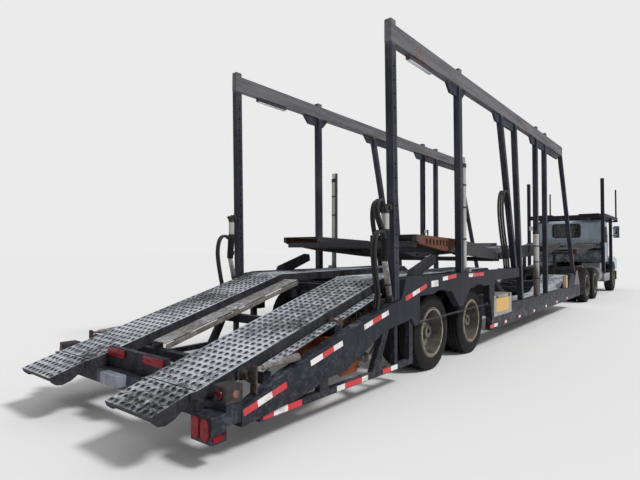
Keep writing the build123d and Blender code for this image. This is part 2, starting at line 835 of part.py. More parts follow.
for deck_name, (girder_outline, tread_line, tube_places, shoe_x) in deck_lines.items():
    barrel_x, barrel_y, barrel_radius, rod_radius = barrels[deck_name]
    barrel_top = barrel_tops[deck_name]
    lift_x = rear_axle_x + barrel_x
    shoe_top = deck_tread(tread_line, shoe_x) - 20
    with BuildPart() as deck:
        for side in (1, -1):
            outer = side * deck_half_width
            side_sheet(rear_axle_x, girder_outline, *sorted((outer, outer - side * deck_girder)))
            runway_edges = (side * deck_runway_inner, outer - side * deck_girder)
            side_sheet(rear_axle_x, band(tread_line, sheet), *sorted(runway_edges))
            side_sheet(
                rear_axle_x, band(tread_line, 80), *sorted((side * deck_runway_inner, side * (deck_runway_inner + 12)))
            )
            # Strap from the rod's eye down to the side girder
            block(
                (lift_x - strap_half_width, lift_x + strap_half_width),
                sorted((outer, outer + side * strap_thickness)),
                (deck_tread(tread_line, barrel_x) - 130, barrel_top + eye_height),
            )
            # Guide shoe that runs on the post's inner face
            block(
                (rear_axle_x + shoe_x - shoe_half_length, rear_axle_x + shoe_x + shoe_half_length),
                sorted((outer, side * (post_inner - moving_gap))),
                (shoe_top - 110, shoe_top),
            )
        for x in tube_places:
            top = min(deck_tread(tread_line, x - deck_tube / 2), deck_tread(tread_line, x + deck_tube / 2)) - 80
            block(
                (rear_axle_x + x - deck_tube / 2, rear_axle_x + x + deck_tube / 2),
                (-deck_half_width + deck_girder, deck_half_width - deck_girder),
                (top - deck_tube, top + 4),
            )
        if deck_name == "rear":
            for side in (1, -1):
                with BuildSketch(side_plane(rear_axle_x, side * deck_half_width)) as slots:
                    for slot_x in slot_places:
                        with Locations((slot_x, deck_tread(tread_line, slot_x) - 75)):
                            Rectangle(45, 70)
                extrude(slots.sketch, amount=2 * deck_girder + 4, both=True, mode=Mode.SUBTRACT)
    finish(deck.part, f"deck_{deck_name}")
    with BuildPart() as rods:
        for side in (1, -1):
            rod_foot = max(frame_top(barrel_x - barrel_radius), frame_top(barrel_x + barrel_radius)) + barrel_floor + 40
            rod(
                (lift_x, side * barrel_y, rod_foot),
                (lift_x, side * barrel_y, barrel_top + eye_height),
                rod_radius,
            )
            block(
                (lift_x - strap_half_width, lift_x + strap_half_width),
                sorted((side * (deck_half_width + strap_thickness), side * (barrel_y + rod_radius))),
                (barrel_top + 2 * moving_gap, barrel_top + eye_height),
            )
    finish(rods.part, f"lift_rods_{deck_name}")

# Trailer axles and springs.

axle_tube_radius = 64
axle_half_length = 640
spindle_end = 1080
spring_y = 500
spring_half_width = 38
spring_half_span = 430
spring_thickness = 50
spring_rise = 95


def leaf_pack(x, y, seat, half_span, rise, thickness, half_width):
    """A bowed pack of spring leaves whose middle rests at a seat height."""
    with BuildSketch(side_plane(x, y + half_width)) as pack:
        with BuildLine():
            ThreePointArc((-half_span, seat + rise), (0, seat), (half_span, seat + rise))
            Line((half_span, seat + rise), (half_span, seat + rise + thickness))
            ThreePointArc(
                (half_span, seat + rise + thickness), (0, seat + thickness), (-half_span, seat + rise + thickness)
            )
            Line((-half_span, seat + rise + thickness), (-half_span, seat + rise))
        make_face()
    extrude(pack.sketch, amount=2 * half_width)


with BuildPart() as trailer_axles:
    for x in (rear_axle_x, rear_axle_x + trailer_axle_spacing):
        rod((x, -axle_half_length, tyre_radius), (x, axle_half_length, tyre_radius), axle_tube_radius)
        rod((x, -spindle_end, tyre_radius), (x, spindle_end, tyre_radius), spindle_radius)
        for side in (1, -1):
            block(
                (x - 60, x + 60),
                sorted((side * (spring_y - spring_half_width), side * (spring_y + spring_half_width))),
                (tyre_radius, tyre_radius + 90),
            )
            leaf_pack(
                x, side * spring_y, tyre_radius + 88, spring_half_span, spring_rise, spring_thickness, spring_half_width
            )
    for side in (1, -1):
        for x in (-spring_half_span, trailer_axle_spacing / 2, trailer_axle_spacing + spring_half_span):
            half = 45 if x != trailer_axle_spacing / 2 else trailer_axle_spacing / 2 - spring_half_span + 45
            block(
                (rear_axle_x + x - half, rear_axle_x + x + half),
                sorted((side * (spring_y - spring_half_width), side * (spring_y + spring_half_width))),
                (tyre_radius + 88 + spring_rise, spring_rail_z[0]),
            )
finish(trailer_axles.part, "trailer_axles")

# Tool box, air tank and stowed loading skid.

with BuildPart() as tool_box:
    block(
        (rear_axle_x + tool_box_rear, rear_axle_x + tool_box_front),
        (-half_width - 5, -1000),
        (tool_box_bottom, tool_box_top),
    )
finish(tool_box.part, "tool_box")

air_tank_radius = 105
tank_tube_top = tread_height(-2000 - tube_width / 2) - runway_depth - seat_gap
tank_height = tank_tube_top - tube_depth - air_tank_radius
with BuildPart() as air_tank:
    rod(
        (rear_axle_x - 2250, -900, tank_height),
        (rear_axle_x - 1600, -900, tank_height),
        air_tank_radius,
    )
    block(
        (rear_axle_x - 2100, rear_axle_x - 1800),
        (-frame_inner, -960),
        (tank_height - 60, tank_height + 90),
    )
finish(air_tank.part, "air_tank")

skid_line = [(-2935, 0), (-1070, 0)]
with BuildPart() as loading_skid:
    base = [(x, tread_height(x) - runway_depth) for x, _ in skid_line]
    side_sheet(rear_axle_x, [*base, *[(x, z + 70) for x, z in reversed(base)]], 90, 330)
    side_sheet(rear_axle_x, [(x, z + 12) for x, z in base] + [(x, z + 80) for x, z in reversed(base)], 102, 318,
               mode=Mode.SUBTRACT)
finish(loading_skid.part, "loading_skid")

# Tractor chassis.
# Two channel rails carry everything, and the stinger drops behind the drive axles to the coupling pin.

rail_y = (380, 460)
rail_z = (720, 980)
rail_rear = pivot_x + 400
rail_front = bumper_x - 230
cross_rails = (500, 1800, 3100, 4300, 5600)
stinger_plate_z = (425, 520)
headrack_post_x = pivot_x + 4050
headrack_leg_x = steer_x - 600
cab_rear = pivot_x + 4350
cab_floor = 1100
cab_half_width = 1080
headrack_rail_y = (cab_half_width + 50, cab_half_width + 150)
cab_mounts = (cab_rear + 120, cab_rear + 1380)

with BuildPart() as chassis:
    for side in (1, -1):
        block((rail_rear, rail_front), sorted((side * rail_y[0], side * rail_y[1])), rail_z)
        side_sheet(
            pivot_x,
            [(400, rail_z[0]), (760, rail_z[0]), (640, stinger_plate_z[0]), (150, stinger_plate_z[0]),
             (150, stinger_plate_z[1])],
            *sorted((side * rail_y[0], side * rail_y[1])),
        )
        # Mudflap hanger and flap behind the rear drive wheels
        block((pivot_x + 590, pivot_x + 620), sorted((side * rail_y[1], side * dual_outer_face)), (900, 940))
        block((pivot_x + 598, pivot_x + 610), sorted((side * 640, side * dual_outer_face)), (260, 900))
    for x in cross_rails:
        block((pivot_x + x, pivot_x + x + 90), (-rail_y[0], rail_y[0]), (rail_z[0] + 60, rail_z[1] - 40))
    with BuildSketch(Plane.XY.offset(stinger_plate_z[0])) as stinger:
        with BuildLine():
            Polyline(
                (pivot_x, -coupling_radius),
                (pivot_x + 640, -rail_y[1]),
                (pivot_x + 640, rail_y[1]),
                (pivot_x, coupling_radius),
                close=True,
            )
        make_face()
        with Locations((pivot_x, 0)):
            Circle(coupling_radius)
    extrude(stinger.sketch, amount=stinger_plate_z[1] - stinger_plate_z[0])
    rod((pivot_x, 0, stinger_plate_z[1]), (pivot_x, 0, tongue_top + 30), coupling_pin_radius)
    # Rubber blocks under the cab's corners
    for x in cab_mounts:
        for side in (1, -1):
            block((x - 60, x + 60), sorted((side * rail_y[0], side * rail_y[1])), (rail_z[1], cab_floor - seat_gap))
    # Outriggers that carry the headrack's posts and legs
    for x in (headrack_post_x, headrack_leg_x):
        for side in (1, -1):
            block((x - 50, x + 50), sorted((side * rail_y[1], side * headrack_rail_y[1])), (rail_z[0], rail_z[0] + 100))
finish(chassis.part, "chassis")

# Drive axles on trailing arms with air springs.

diff_radius = 190
with BuildPart() as drive_axles:
    for x in (drive_x, drive_x + drive_axle_spacing):
        rod((x, -axle_half_length, drive_tyre_radius), (x, axle_half_length, drive_tyre_radius), axle_tube_radius)
        rod((x, -spindle_end, drive_tyre_radius), (x, spindle_end, drive_tyre_radius), spindle_radius)
        rod((x, -110, drive_tyre_radius), (x, 110, drive_tyre_radius), diff_radius)
        for side in (1, -1):
            block((x - 60, x + 420), sorted((side * 385, side * 455)), (drive_tyre_radius - 30, drive_tyre_radius + 70))
            rod((x + 330, side * 420, drive_tyre_radius + 70), (x + 330, side * 420, rail_z[0]), 85)
finish(drive_axles.part, "drive_axles")

# Front axle, its springs and the steering knuckles.

kingpin_y = steer_wheel_y - 120
kingpin_radius = 20
boss_radius = 52
knuckle_half_height = 160
boss_half_height = 85
steer_height = steer_tyre_radius
front_beam_z = (steer_height - 80, steer_height - 10)

with BuildPart() as front_axle:
    block((steer_x - 55, steer_x + 55), (-kingpin_y + 20, kingpin_y - 20), front_beam_z)
    for side in (1, -1):
        rod(
            (steer_x, side * kingpin_y, steer_height - boss_half_height),
            (steer_x, side * kingpin_y, steer_height + boss_half_height),
            boss_radius,
        )
        rod(
            (steer_x, side * kingpin_y, steer_height - knuckle_half_height),
            (steer_x, side * kingpin_y, steer_height + knuckle_half_height),
            kingpin_radius,
        )
        block((steer_x - 55, steer_x + 55), sorted((side * 382, side * 458)), (front_beam_z[1], front_beam_z[1] + 30))
        leaf_pack(steer_x, side * 420, front_beam_z[1] + 28, 520, 150, 45, 38)
        for end in (-500, 500):
            block(
                (steer_x + end - 40, steer_x + end + 40),
                sorted((side * 382, side * 458)),
                (front_beam_z[1] + 175, rail_z[0]),
            )
finish(front_axle.part, "front_axle")

knuckle_plate = (kingpin_y + 60, kingpin_y + 90)
for side_name, side in (("left", 1), ("right", -1)):
    with BuildPart() as knuckle:
        plate = sorted((side * knuckle_plate[0], side * knuckle_plate[1]))
        block(
            (steer_x - 60, steer_x + 60),
            plate,
            (steer_height - knuckle_half_height, steer_height + knuckle_half_height),
        )
        for low, high in (
            (steer_height - knuckle_half_height, steer_height - boss_half_height - moving_gap),
            (steer_height + boss_half_height + moving_gap, steer_height + knuckle_half_height),
        ):
            rod((steer_x, side * kingpin_y, low), (steer_x, side * kingpin_y, high), boss_radius)
            block((steer_x - 40, steer_x + 40), sorted((side * kingpin_y, side * knuckle_plate[0])), (low, high))
        rod(
            (steer_x, side * kingpin_y, steer_height - knuckle_half_height),
            (steer_x, side * kingpin_y, steer_height + knuckle_half_height),
            kingpin_radius + bearing_gap,
            mode=Mode.SUBTRACT,
        )
        rod(
            (steer_x, side * knuckle_plate[1], steer_height),
            (steer_x, side * (steer_wheel_y + 112), steer_height),
            spindle_radius,
        )
    finish(knuckle.part, f"knuckle_{side_name}")

# Engine block and radiator, fuel tanks and side steps.

engine_arms = (steer_x - 250, steer_x + 480)
with BuildPart() as engine:
    block((steer_x - 380, steer_x + 620), (-350, 350), (600, 1330))
    for x in engine_arms:
        block((x - 50, x + 50), (-rail_y[0] + seat_gap, rail_y[0] - seat_gap), (780, 900))
    block((steer_x + 740, steer_x + 800), (-420, 420), (rail_z[1], 1330))
finish(engine.part, "engine")

fuel_tank_radius = 290
fuel_tank_y = 880
fuel_tank_z = 700
step_x = (steer_x - 1900, steer_x - 700)
with BuildPart() as fuel_tanks:
    for side in (1, -1):
        rod(
            (steer_x - 3000, side * fuel_tank_y, fuel_tank_z),
            (steer_x - 2400, side * fuel_tank_y, fuel_tank_z),
            fuel_tank_radius,
        )
        block((steer_x - 2860, steer_x - 2540), sorted((side * rail_y[1], side * 640)), (rail_z[0] + 20, rail_z[1]))
        block(step_x, sorted((side * rail_y[1], side * (cab_half_width + 70))), (430, 700))
        block(step_x, sorted((side * rail_y[1], side * (cab_half_width - 60))), (700, cab_floor - 40))
finish(fuel_tanks.part, "fuel_tanks")

# Cab.
# A day cab with a flat roof: its shell is cut for the doors, the windscreen and the back window.

cab_wall = 55
cab_corner_radius = 45
cab_outline = [
    # distance forward of the cab's back, height
    (0, cab_floor),
    (1500, cab_floor),
    (1500, 1500),
    (1620, 1700),
    (1330, 2450),
    (1230, 2540),
    (110, 2560),
    (0, 2470),
]
cab_cavity = [
    (cab_wall, cab_floor + cab_wall),
    (1500 - cab_wall, cab_floor + cab_wall),
    (1500 - cab_wall, 1520),
    (1555, 1700),
    (1280, 2420),
    (1210, 2485),
    (120, 2505),
    (cab_wall, 2450),
]
door_outline = [(360, cab_floor + 70), (1310, cab_floor + 70), (1310, 2100), (1230, 2410), (360, 2410)]
door_window = [(430, 1790), (1240, 1790), (1240, 2085), (1180, 2340), (430, 2340)]
door_gap = 6
door_thickness = cab_wall
door_hinge_x = door_outline[2][0] - door_gap / 2
door_hinge_radius = 14
door_hinge_y = cab_half_width + door_hinge_radius + 0.5
door_pin_radius = 6
door_hinges = (1250, 1960)
door_hinge_length = 50
hinge_leaf = 6
screen_half_width = 950
screen_heights = (1780, 2380)
back_window_half_width = 430
back_window_heights = (1990, 2400)
glass_thickness = 8


def screen_x(height):
    """Distance from the cab's back to the outer face of the windscreen at a height."""
    (low_x, low_z), (high_x, high_z) = cab_outline[3], cab_outline[4]
    return low_x + (high_x - low_x) * (height - low_z) / (high_z - low_z)


def hinge_half(side, towards, low, bored):
    """One half of a door hinge: a leaf on the outer skin and a barrel, with or without a bore."""
    leaf_x = sorted((cab_rear + door_hinge_x, cab_rear + door_hinge_x + towards * 60))
    block(
        leaf_x,
        sorted((side * cab_half_width, side * (cab_half_width + hinge_leaf))),
        (low, low + door_hinge_length - seat_gap),
    )
    with BuildSketch(Plane.XY.offset(low)) as barrel:
        with Locations((cab_rear + door_hinge_x, side * door_hinge_y)):
            Circle(door_hinge_radius)
    extrude(barrel.sketch, amount=door_hinge_length - seat_gap)
    with BuildSketch(Plane.XY.offset(low - 1)) as pin:
        with Locations((cab_rear + door_hinge_x, side * door_hinge_y)):
            Circle(door_pin_radius + bearing_gap if bored else door_pin_radius)
    extrude(
        pin.sketch,
        amount=door_hinge_length + 2 if bored else 2 * door_hinge_length - 4,
        mode=Mode.SUBTRACT if bored else Mode.ADD,
    )


def inset_outline(x, outline, inset, y):
    """A sketch of an outline shrunk by a gap, standing at y."""
    with BuildSketch(side_plane(x, y)) as face:
        with BuildLine():
            Polyline(*outline, close=True)
        make_face()
        if inset:
            offset(amount=-inset, kind=Kind.INTERSECTION)
    return face.sketch


with BuildPart() as cab_shell:
    side_sheet(cab_rear, cab_outline, -cab_half_width, cab_half_width)
    fillet(cab_shell.edges().filter_by(Axis.Y).filter_by(lambda edge: edge.center().Z > 2400), cab_corner_radius)
    side_sheet(
        cab_rear, cab_cavity, -cab_half_width + cab_wall, cab_half_width - cab_wall, mode=Mode.SUBTRACT
    )
    side_sheet(cab_rear, door_outline, -cab_half_width - 1, cab_half_width + 1, mode=Mode.SUBTRACT)
    side_sheet(
        cab_rear,
        [
            (screen_x(screen_heights[0]) - 150, screen_heights[0]),
            (screen_x(screen_heights[0]) + 150, screen_heights[0]),
            (screen_x(screen_heights[0]) + 150, screen_heights[1]),
            (screen_x(screen_heights[1]) - 100, screen_heights[1]),
        ],
        -screen_half_width,
        screen_half_width,
        mode=Mode.SUBTRACT,
    )
    block(
        (cab_rear - 10, cab_rear + cab_wall + 10),
        (-back_window_half_width, back_window_half_width),
        back_window_heights,
        mode=Mode.SUBTRACT,
    )
    for side in (1, -1):
        for low in door_hinges:
            hinge_half(side, 1, low, bored=False)
finish(cab_shell.part, "cab_shell")

with BuildPart() as cab_glass:
    inset_low, inset_high = (screen_x(height) - 25 for height in screen_heights)
    side_sheet(
        cab_rear,
        [
            (inset_low - glass_thickness, screen_heights[0]),
            (inset_low, screen_heights[0]),
            (inset_high, screen_heights[1]),
            (inset_high - glass_thickness, screen_heights[1]),
        ],
        -screen_half_width,
        screen_half_width,
    )
    block(
        (cab_rear + 20, cab_rear + 20 + glass_thickness),
        (-back_window_half_width, back_window_half_width),
        back_window_heights,
    )
finish(cab_glass.part, "cab_glass")

for side_name, side in (("left", 1), ("right", -1)):
    outer_y = max(side * cab_half_width, side * (cab_half_width - door_thickness))
    with BuildPart() as door:
        extrude(inset_outline(cab_rear, door_outline, door_gap, outer_y), amount=door_thickness)
        extrude(inset_outline(cab_rear, door_window, 0, outer_y), amount=door_thickness, mode=Mode.SUBTRACT)
        block(
            (cab_rear + 420, cab_rear + 560),
            sorted((side * cab_half_width, side * (cab_half_width + 30))),
            (1640, 1670),
        )
        for low in door_hinges:
            hinge_half(side, -1, low + door_hinge_length, bored=True)
    finish(door.part, f"door_{side_name}")
    glass_y = side * (cab_half_width - door_thickness / 2)
    with BuildPart() as door_glass:
        extrude(
            inset_outline(cab_rear, door_window, 0, glass_y + glass_thickness / 2), amount=glass_thickness
        )
    finish(door_glass.part, f"door_glass_{side_name}")

# Seats, dash and steering wheel.

seat_floor = cab_floor + cab_wall
with BuildPart() as cab_interior:
    for side in (1, -1):
        side_sheet(
            cab_rear,
            [(260, seat_floor + 300), (300, seat_floor), (760, seat_floor), (800, seat_floor + 420),
             (780, seat_floor + 480), (380, seat_floor + 470), (300, seat_floor + 1080), (190, seat_floor + 1080)],
            *sorted((side * 250, side * 770)),
        )
    side_sheet(
        cab_rear,
        [
            (1180, 1640),
            (1260, 1400),
            (cab_cavity[1][0] - seat_gap, 1400),
            (cab_cavity[2][0] - seat_gap, cab_cavity[2][1]),
            (1510, 1660),
        ],
        -cab_half_width + cab_wall + moving_gap,
        cab_half_width - cab_wall - moving_gap,
    )
    rod((cab_rear + 1220, 510, 1560), (cab_rear + 1030, 510, 1680), 22)
    with BuildSketch(Plane(origin=(cab_rear + 1030, 510, 1680), z_dir=(-0.845, 0, 0.534))) as wheel_ring:
        Circle(225)
        Circle(195, mode=Mode.SUBTRACT)
        Rectangle(400, 30)
        Circle(60)
    extrude(wheel_ring.sketch, amount=28)
finish(cab_interior.part, "cab_interior")

# Hood.
# One tilting moulding: the nose over the engine and a fender over each steered wheel.

nose_half_width = 560
fender_half_width = 1180
hood_wall = 25
arch_clear = 600
hood_rear = steer_x - 460
hood_outline = [
    # distance forward of the fenders' rear edge, height
    (-20, 800),
    (-20, 1500),
    (76, 1660),
    (1220, 1450),
    (1400, 1330),
    (1460, 1180),
    (1460, 800),
]
fender_outline = [(0, 800), (0, 1230), (80, 1290), (900, 1250), (1300, 1180), (1420, 1080), (1420, 800)]
hood_hinge_x = hood_rear + 1380
hood_hinge_z = 840
hood_pin_radius = 15

with BuildPart() as hood:
    side_sheet(hood_rear, fender_outline, -fender_half_width, fender_half_width)
    side_sheet(hood_rear, hood_outline, -nose_half_width, nose_half_width)
    nose_cavity = [(-30, 790), (-30, 1661), (1210, 1425), (1380, 1310), (1435, 1180), (1435, 790)]
    side_sheet(hood_rear, nose_cavity, -nose_half_width + hood_wall, nose_half_width - hood_wall, mode=Mode.SUBTRACT)
    for side in (1, -1):
        side_sheet(
            hood_rear,
            [(-10, 790), (-10, 1205), (90, 1262), (895, 1224), (1285, 1157), (1395, 1066), (1395, 790)],
            *sorted((side * nose_half_width, side * (fender_half_width - hood_wall))),
            mode=Mode.SUBTRACT,
        )
        with BuildSketch(side_plane(steer_x, max(side * fender_half_width, side * (nose_half_width)))) as arch:
            with Locations((0, steer_height)):
                Circle(arch_clear)
        extrude(arch.sketch, amount=fender_half_width - nose_half_width, mode=Mode.SUBTRACT)
        # Hinge pin from the nose's wall, and the notch that clears its lug when the hood is up
        rod(
            (hood_hinge_x, side * (nose_half_width - hood_wall), hood_hinge_z),
            (hood_hinge_x, side * (rail_y[0] - 8), hood_hinge_z),
            hood_pin_radius,
        )
        block(
            (hood_rear + 1425, hood_rear + 1470),
            sorted((side * (rail_y[0] - 15), side * (rail_y[1] + 15))),
            (790, hood_hinge_z + 35),
            mode=Mode.SUBTRACT,
        )
    # Grille opening with upright bars
    block((hood_rear + 1430, hood_rear + 1470), (-420, 420), (900, 1180), mode=Mode.SUBTRACT)
    for bar in range(9):
        bar_y = -360 + bar * 90
        block((hood_rear + 1438, hood_rear + 1458), (bar_y - 12, bar_y + 12), (890, 1190))
finish(hood.part, "hood")

with BuildPart() as headlamps:
    for side in (1, -1):
        block((hood_rear + 1420, hood_rear + 1450), sorted((side * 700, side * 1090)), (900, 1050))
finish(headlamps.part, "headlamps")

with BuildPart() as bumper:
    block((bumper_x - 150, bumper_x), (-1150, 1150), (380, 720))
    for side in (1, -1):
        block((rail_front, bumper_x - 150), sorted((side * rail_y[0], side * rail_y[1])), (rail_z[0] - 100, 720))
        block((hood_hinge_x - 30, hood_hinge_x + 30), sorted((side * rail_y[0], side * rail_y[1])), (719, 870))
        rod(
            (hood_hinge_x, side * (rail_y[0] - 1), hood_hinge_z),
            (hood_hinge_x, side * (rail_y[1] + 1), hood_hinge_z),
            hood_pin_radius + bearing_gap,
            mode=Mode.SUBTRACT,
        )
    block((rail_front, rail_front + 60), (-rail_y[1], rail_y[1]), (720, 800))
finish(bumper.part, "bumper")

# Headrack.
# Two tall posts behind the cab and two legs behind the front wheels carry rails over the cab.

headrack_post_top = 3940
headrack_rail_z = (2660, 2760)
headrack_front = steer_x + 900
front_pin_top = 3860
leg_half = 40
headrack_hinge_x = headrack_post_x + 110
headrack_hinge_z = headrack_rail_z[0] + 60
hinge_pin_radius = 22

with BuildPart() as headrack_frame:
    for side in (1, -1):
        rail = sorted((side * headrack_rail_y[0], side * headrack_rail_y[1]))
        block(
            (headrack_post_x - 50, headrack_post_x + 50), rail, (rail_z[0] + 100, headrack_post_top)
        )
        block((headrack_leg_x - leg_half, headrack_leg_x + leg_half), rail, (rail_z[0] + 100, headrack_rail_z[0]))
        block((headrack_post_x, headrack_front), rail, headrack_rail_z)
        rod(
            (headrack_front - 50, side * sum(headrack_rail_y) / 2, headrack_rail_z[1]),
            (headrack_front - 50, side * sum(headrack_rail_y) / 2, front_pin_top),
            28,
        )
        # Mirror on two arms from the leg
        block(
            (headrack_leg_x - 20, headrack_leg_x + 60),
            sorted((side * 1270, side * 1450)),
            (1960, 2380),
        )
        for arm_z in (2020, 2300):
            block(
                (headrack_leg_x - 10, headrack_leg_x + 10),
                sorted((side * headrack_rail_y[1], side * 1270)),
                (arm_z, arm_z + 25),
            )
    for x in (headrack_post_x, headrack_front - 50):
        block(
            (x - 50, x + 50), (-headrack_rail_y[1], headrack_rail_y[1]), (headrack_rail_z[0] - 60, headrack_rail_z[0])
        )
    block(
        (headrack_post_x - 50, headrack_post_x + 50), (-headrack_rail_y[0], headrack_rail_y[0]), (1500, 1580)
    )
    rod(
        (headrack_hinge_x, -headrack_rail_y[1] - 1, headrack_hinge_z),
        (headrack_hinge_x, headrack_rail_y[1] + 1, headrack_hinge_z),
        hinge_pin_radius + bearing_gap,
        mode=Mode.SUBTRACT,
    )
finish(headrack_frame.part, "headrack_frame")

rack_deck_half_width = headrack_rail_y[0] - 80
rack_deck_x = (headrack_post_x + 75, headrack_front - 20)
rack_deck_z = (headrack_rail_z[0] + moving_gap, headrack_rail_z[0] + 110)

with BuildPart() as headrack_deck:
    for side in (1, -1):
        outer = side * rack_deck_half_width
        block(rack_deck_x, sorted((outer, outer - side * 60)), rack_deck_z)
        block(rack_deck_x, sorted((side * 440, side * 500)), (rack_deck_z[0] + 20, rack_deck_z[1]))
        block(rack_deck_x, sorted((side * 500, outer - side * 60)), (rack_deck_z[1] - sheet, rack_deck_z[1]))
        rod(
            (headrack_hinge_x, outer, headrack_hinge_z),
            (headrack_hinge_x, side * (headrack_rail_y[0] + 60), headrack_hinge_z),
            hinge_pin_radius,
        )
    for share in (0, 0.33, 0.66, 1):
        x = rack_deck_x[0] + share * (rack_deck_x[1] - rack_deck_x[0] - deck_tube)
        block((x, x + deck_tube), (-rack_deck_half_width, rack_deck_half_width), (rack_deck_z[0], rack_deck_z[0] + 70))
finish(headrack_deck.part, "headrack_deck")

# Tractor deck over the drive wheels, hinged at the headrack's posts and propped at the rear.

tractor_hinge_x = headrack_post_x - 130
tractor_hinge_z = 1700
tractor_deck_line = [(pivot_x + 450, 1520), (tractor_hinge_x + 40, 1760)]


def tractor_tread(x):
    """Height of the tractor deck's tread at an x."""
    (x_low, z_low), (x_high, z_high) = tractor_deck_line
    return z_low + (z_high - z_low) * (x - x_low) / (x_high - x_low)


with BuildPart() as tractor_deck:
    for side in (1, -1):
        outer = side * rack_deck_half_width
        side_sheet(0, band(tractor_deck_line, 120), *sorted((outer, outer - side * deck_girder)))
        side_sheet(0, band(tractor_deck_line, 80), *sorted((side * 440, side * 452)))
        side_sheet(0, band(tractor_deck_line, sheet), *sorted((side * 440, outer - side * deck_girder)))
        rod(
            (tractor_hinge_x, outer, tractor_hinge_z),
            (tractor_hinge_x, side * (headrack_rail_y[0] + 40), tractor_hinge_z),
            hinge_pin_radius,
        )
    for share in (0.02, 0.35, 0.68, 0.97):
        x = tractor_deck_line[0][0] + share * (tractor_deck_line[1][0] - tractor_deck_line[0][0] - deck_tube)
        top = tractor_tread(x) - 76
        block((x, x + deck_tube), (-rack_deck_half_width + deck_girder, rack_deck_half_width - deck_girder), (top - 60, top))
finish(tractor_deck.part, "tractor_deck")

# Lugs on the headrack's posts hold the tractor deck's hinge pins, and two pedestals stand under its tail.

pedestal_x = pivot_x + 700
with BuildPart() as deck_supports:
    for side in (1, -1):
        lug_y = sorted((side * (rack_deck_half_width + 62), side * headrack_rail_y[1]))
        block((tractor_hinge_x - 50, headrack_post_x - 50), lug_y, (tractor_hinge_z - 60, tractor_hinge_z + 60))
        rod(
            (tractor_hinge_x, side * rack_deck_half_width, tractor_hinge_z),
            (tractor_hinge_x, side * headrack_rail_y[1], tractor_hinge_z),
            hinge_pin_radius + bearing_gap,
            mode=Mode.SUBTRACT,
        )
        block(
            (pedestal_x - 50, pedestal_x + 50),
            sorted((side * rail_y[0], side * rail_y[1])),
            (rail_z[1], tractor_tread(pedestal_x - 50) - 76 - 60 - 20),
        )
finish(deck_supports.part, "deck_supports")
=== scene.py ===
"""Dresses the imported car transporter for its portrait: camera, light, paint, wear and fine fittings."""
import math

import bmesh
import bpy
from mathutils import Matrix, Vector


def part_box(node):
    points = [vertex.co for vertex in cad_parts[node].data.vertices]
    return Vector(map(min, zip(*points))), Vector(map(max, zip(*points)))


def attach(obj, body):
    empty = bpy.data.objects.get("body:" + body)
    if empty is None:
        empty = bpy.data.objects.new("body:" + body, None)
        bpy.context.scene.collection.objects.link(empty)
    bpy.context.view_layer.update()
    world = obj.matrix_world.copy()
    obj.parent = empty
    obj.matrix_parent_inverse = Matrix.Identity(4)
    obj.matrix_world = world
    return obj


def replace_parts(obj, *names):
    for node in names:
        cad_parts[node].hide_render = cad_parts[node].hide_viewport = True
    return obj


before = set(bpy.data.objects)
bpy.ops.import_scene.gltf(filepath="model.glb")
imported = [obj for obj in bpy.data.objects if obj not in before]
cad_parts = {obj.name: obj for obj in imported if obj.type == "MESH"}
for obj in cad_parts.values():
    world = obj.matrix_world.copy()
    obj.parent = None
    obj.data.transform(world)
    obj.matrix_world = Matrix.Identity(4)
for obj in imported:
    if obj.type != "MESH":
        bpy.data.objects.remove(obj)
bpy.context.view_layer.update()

# Camera, floor and light.
# Eye height beside the tail, looking along the right-hand side towards the cab, over pale ground under soft
# studio light.
camera_data = bpy.data.cameras.new("camera")
camera_data.lens = 26.773
camera_data.sensor_width = 36.0
camera_data.clip_end = 400.0
camera = bpy.data.objects.new("camera", camera_data)
bpy.context.scene.collection.objects.link(camera)
camera_place = Vector((-11.763, -3.815, 1.468))
yaw, pitch, roll = math.radians(38.843), math.radians(1.347), math.radians(0.024)
camera.matrix_world = (
    Matrix.Translation(camera_place)
    @ Matrix.Rotation(yaw - math.pi / 2, 4, "Z")
    @ Matrix.Rotation(math.pi / 2 + pitch, 4, "X")
    @ Matrix.Rotation(roll, 4, "Z")
)
bpy.context.scene.camera = camera
bpy.context.scene.view_settings.view_transform = "Standard"

world = bpy.data.worlds.new("studio")
bpy.context.scene.world = world
world.use_nodes = True
background = world.node_tree.nodes["Background"]
background.inputs["Color"].default_value = (1.0, 1.0, 1.0, 1.0)
seen = world.node_tree.nodes.new("ShaderNodeLightPath")
brightness = world.node_tree.nodes.new("ShaderNodeMapRange")
brightness.inputs["To Min"].default_value = 0.50
brightness.inputs["To Max"].default_value = 0.83
world.node_tree.links.new(seen.outputs["Is Camera Ray"], brightness.inputs["Value"])
world.node_tree.links.new(brightness.outputs["Result"], background.inputs["Strength"])

sun_data = bpy.data.lights.new("soft_sun", "SUN")
sun_data.energy = 2.3
sun_data.angle = math.radians(12)
sun = bpy.data.objects.new("soft_sun", sun_data)
sun.rotation_euler = (math.radians(42), math.radians(6), 0)
bpy.context.scene.collection.objects.link(sun)

floor_mesh = bmesh.new()
bmesh.ops.create_grid(floor_mesh, x_segments=1, y_segments=1, size=150.0)
floor_data = bpy.data.meshes.new("floor")
floor_mesh.to_mesh(floor_data)
floor_mesh.free()
floor = bpy.data.objects.new("floor", floor_data)
bpy.context.scene.collection.objects.link(floor)
floor_paint = bpy.data.materials.new("pale_ground")
floor_paint.use_nodes = True
floor_surface = floor_paint.node_tree.nodes["Principled BSDF"]
floor_surface.inputs["Base Color"].default_value = (0.8, 0.8, 0.8, 1.0)
floor_surface.inputs["Roughness"].default_value = 0.9
floor_data.materials.append(floor_paint)


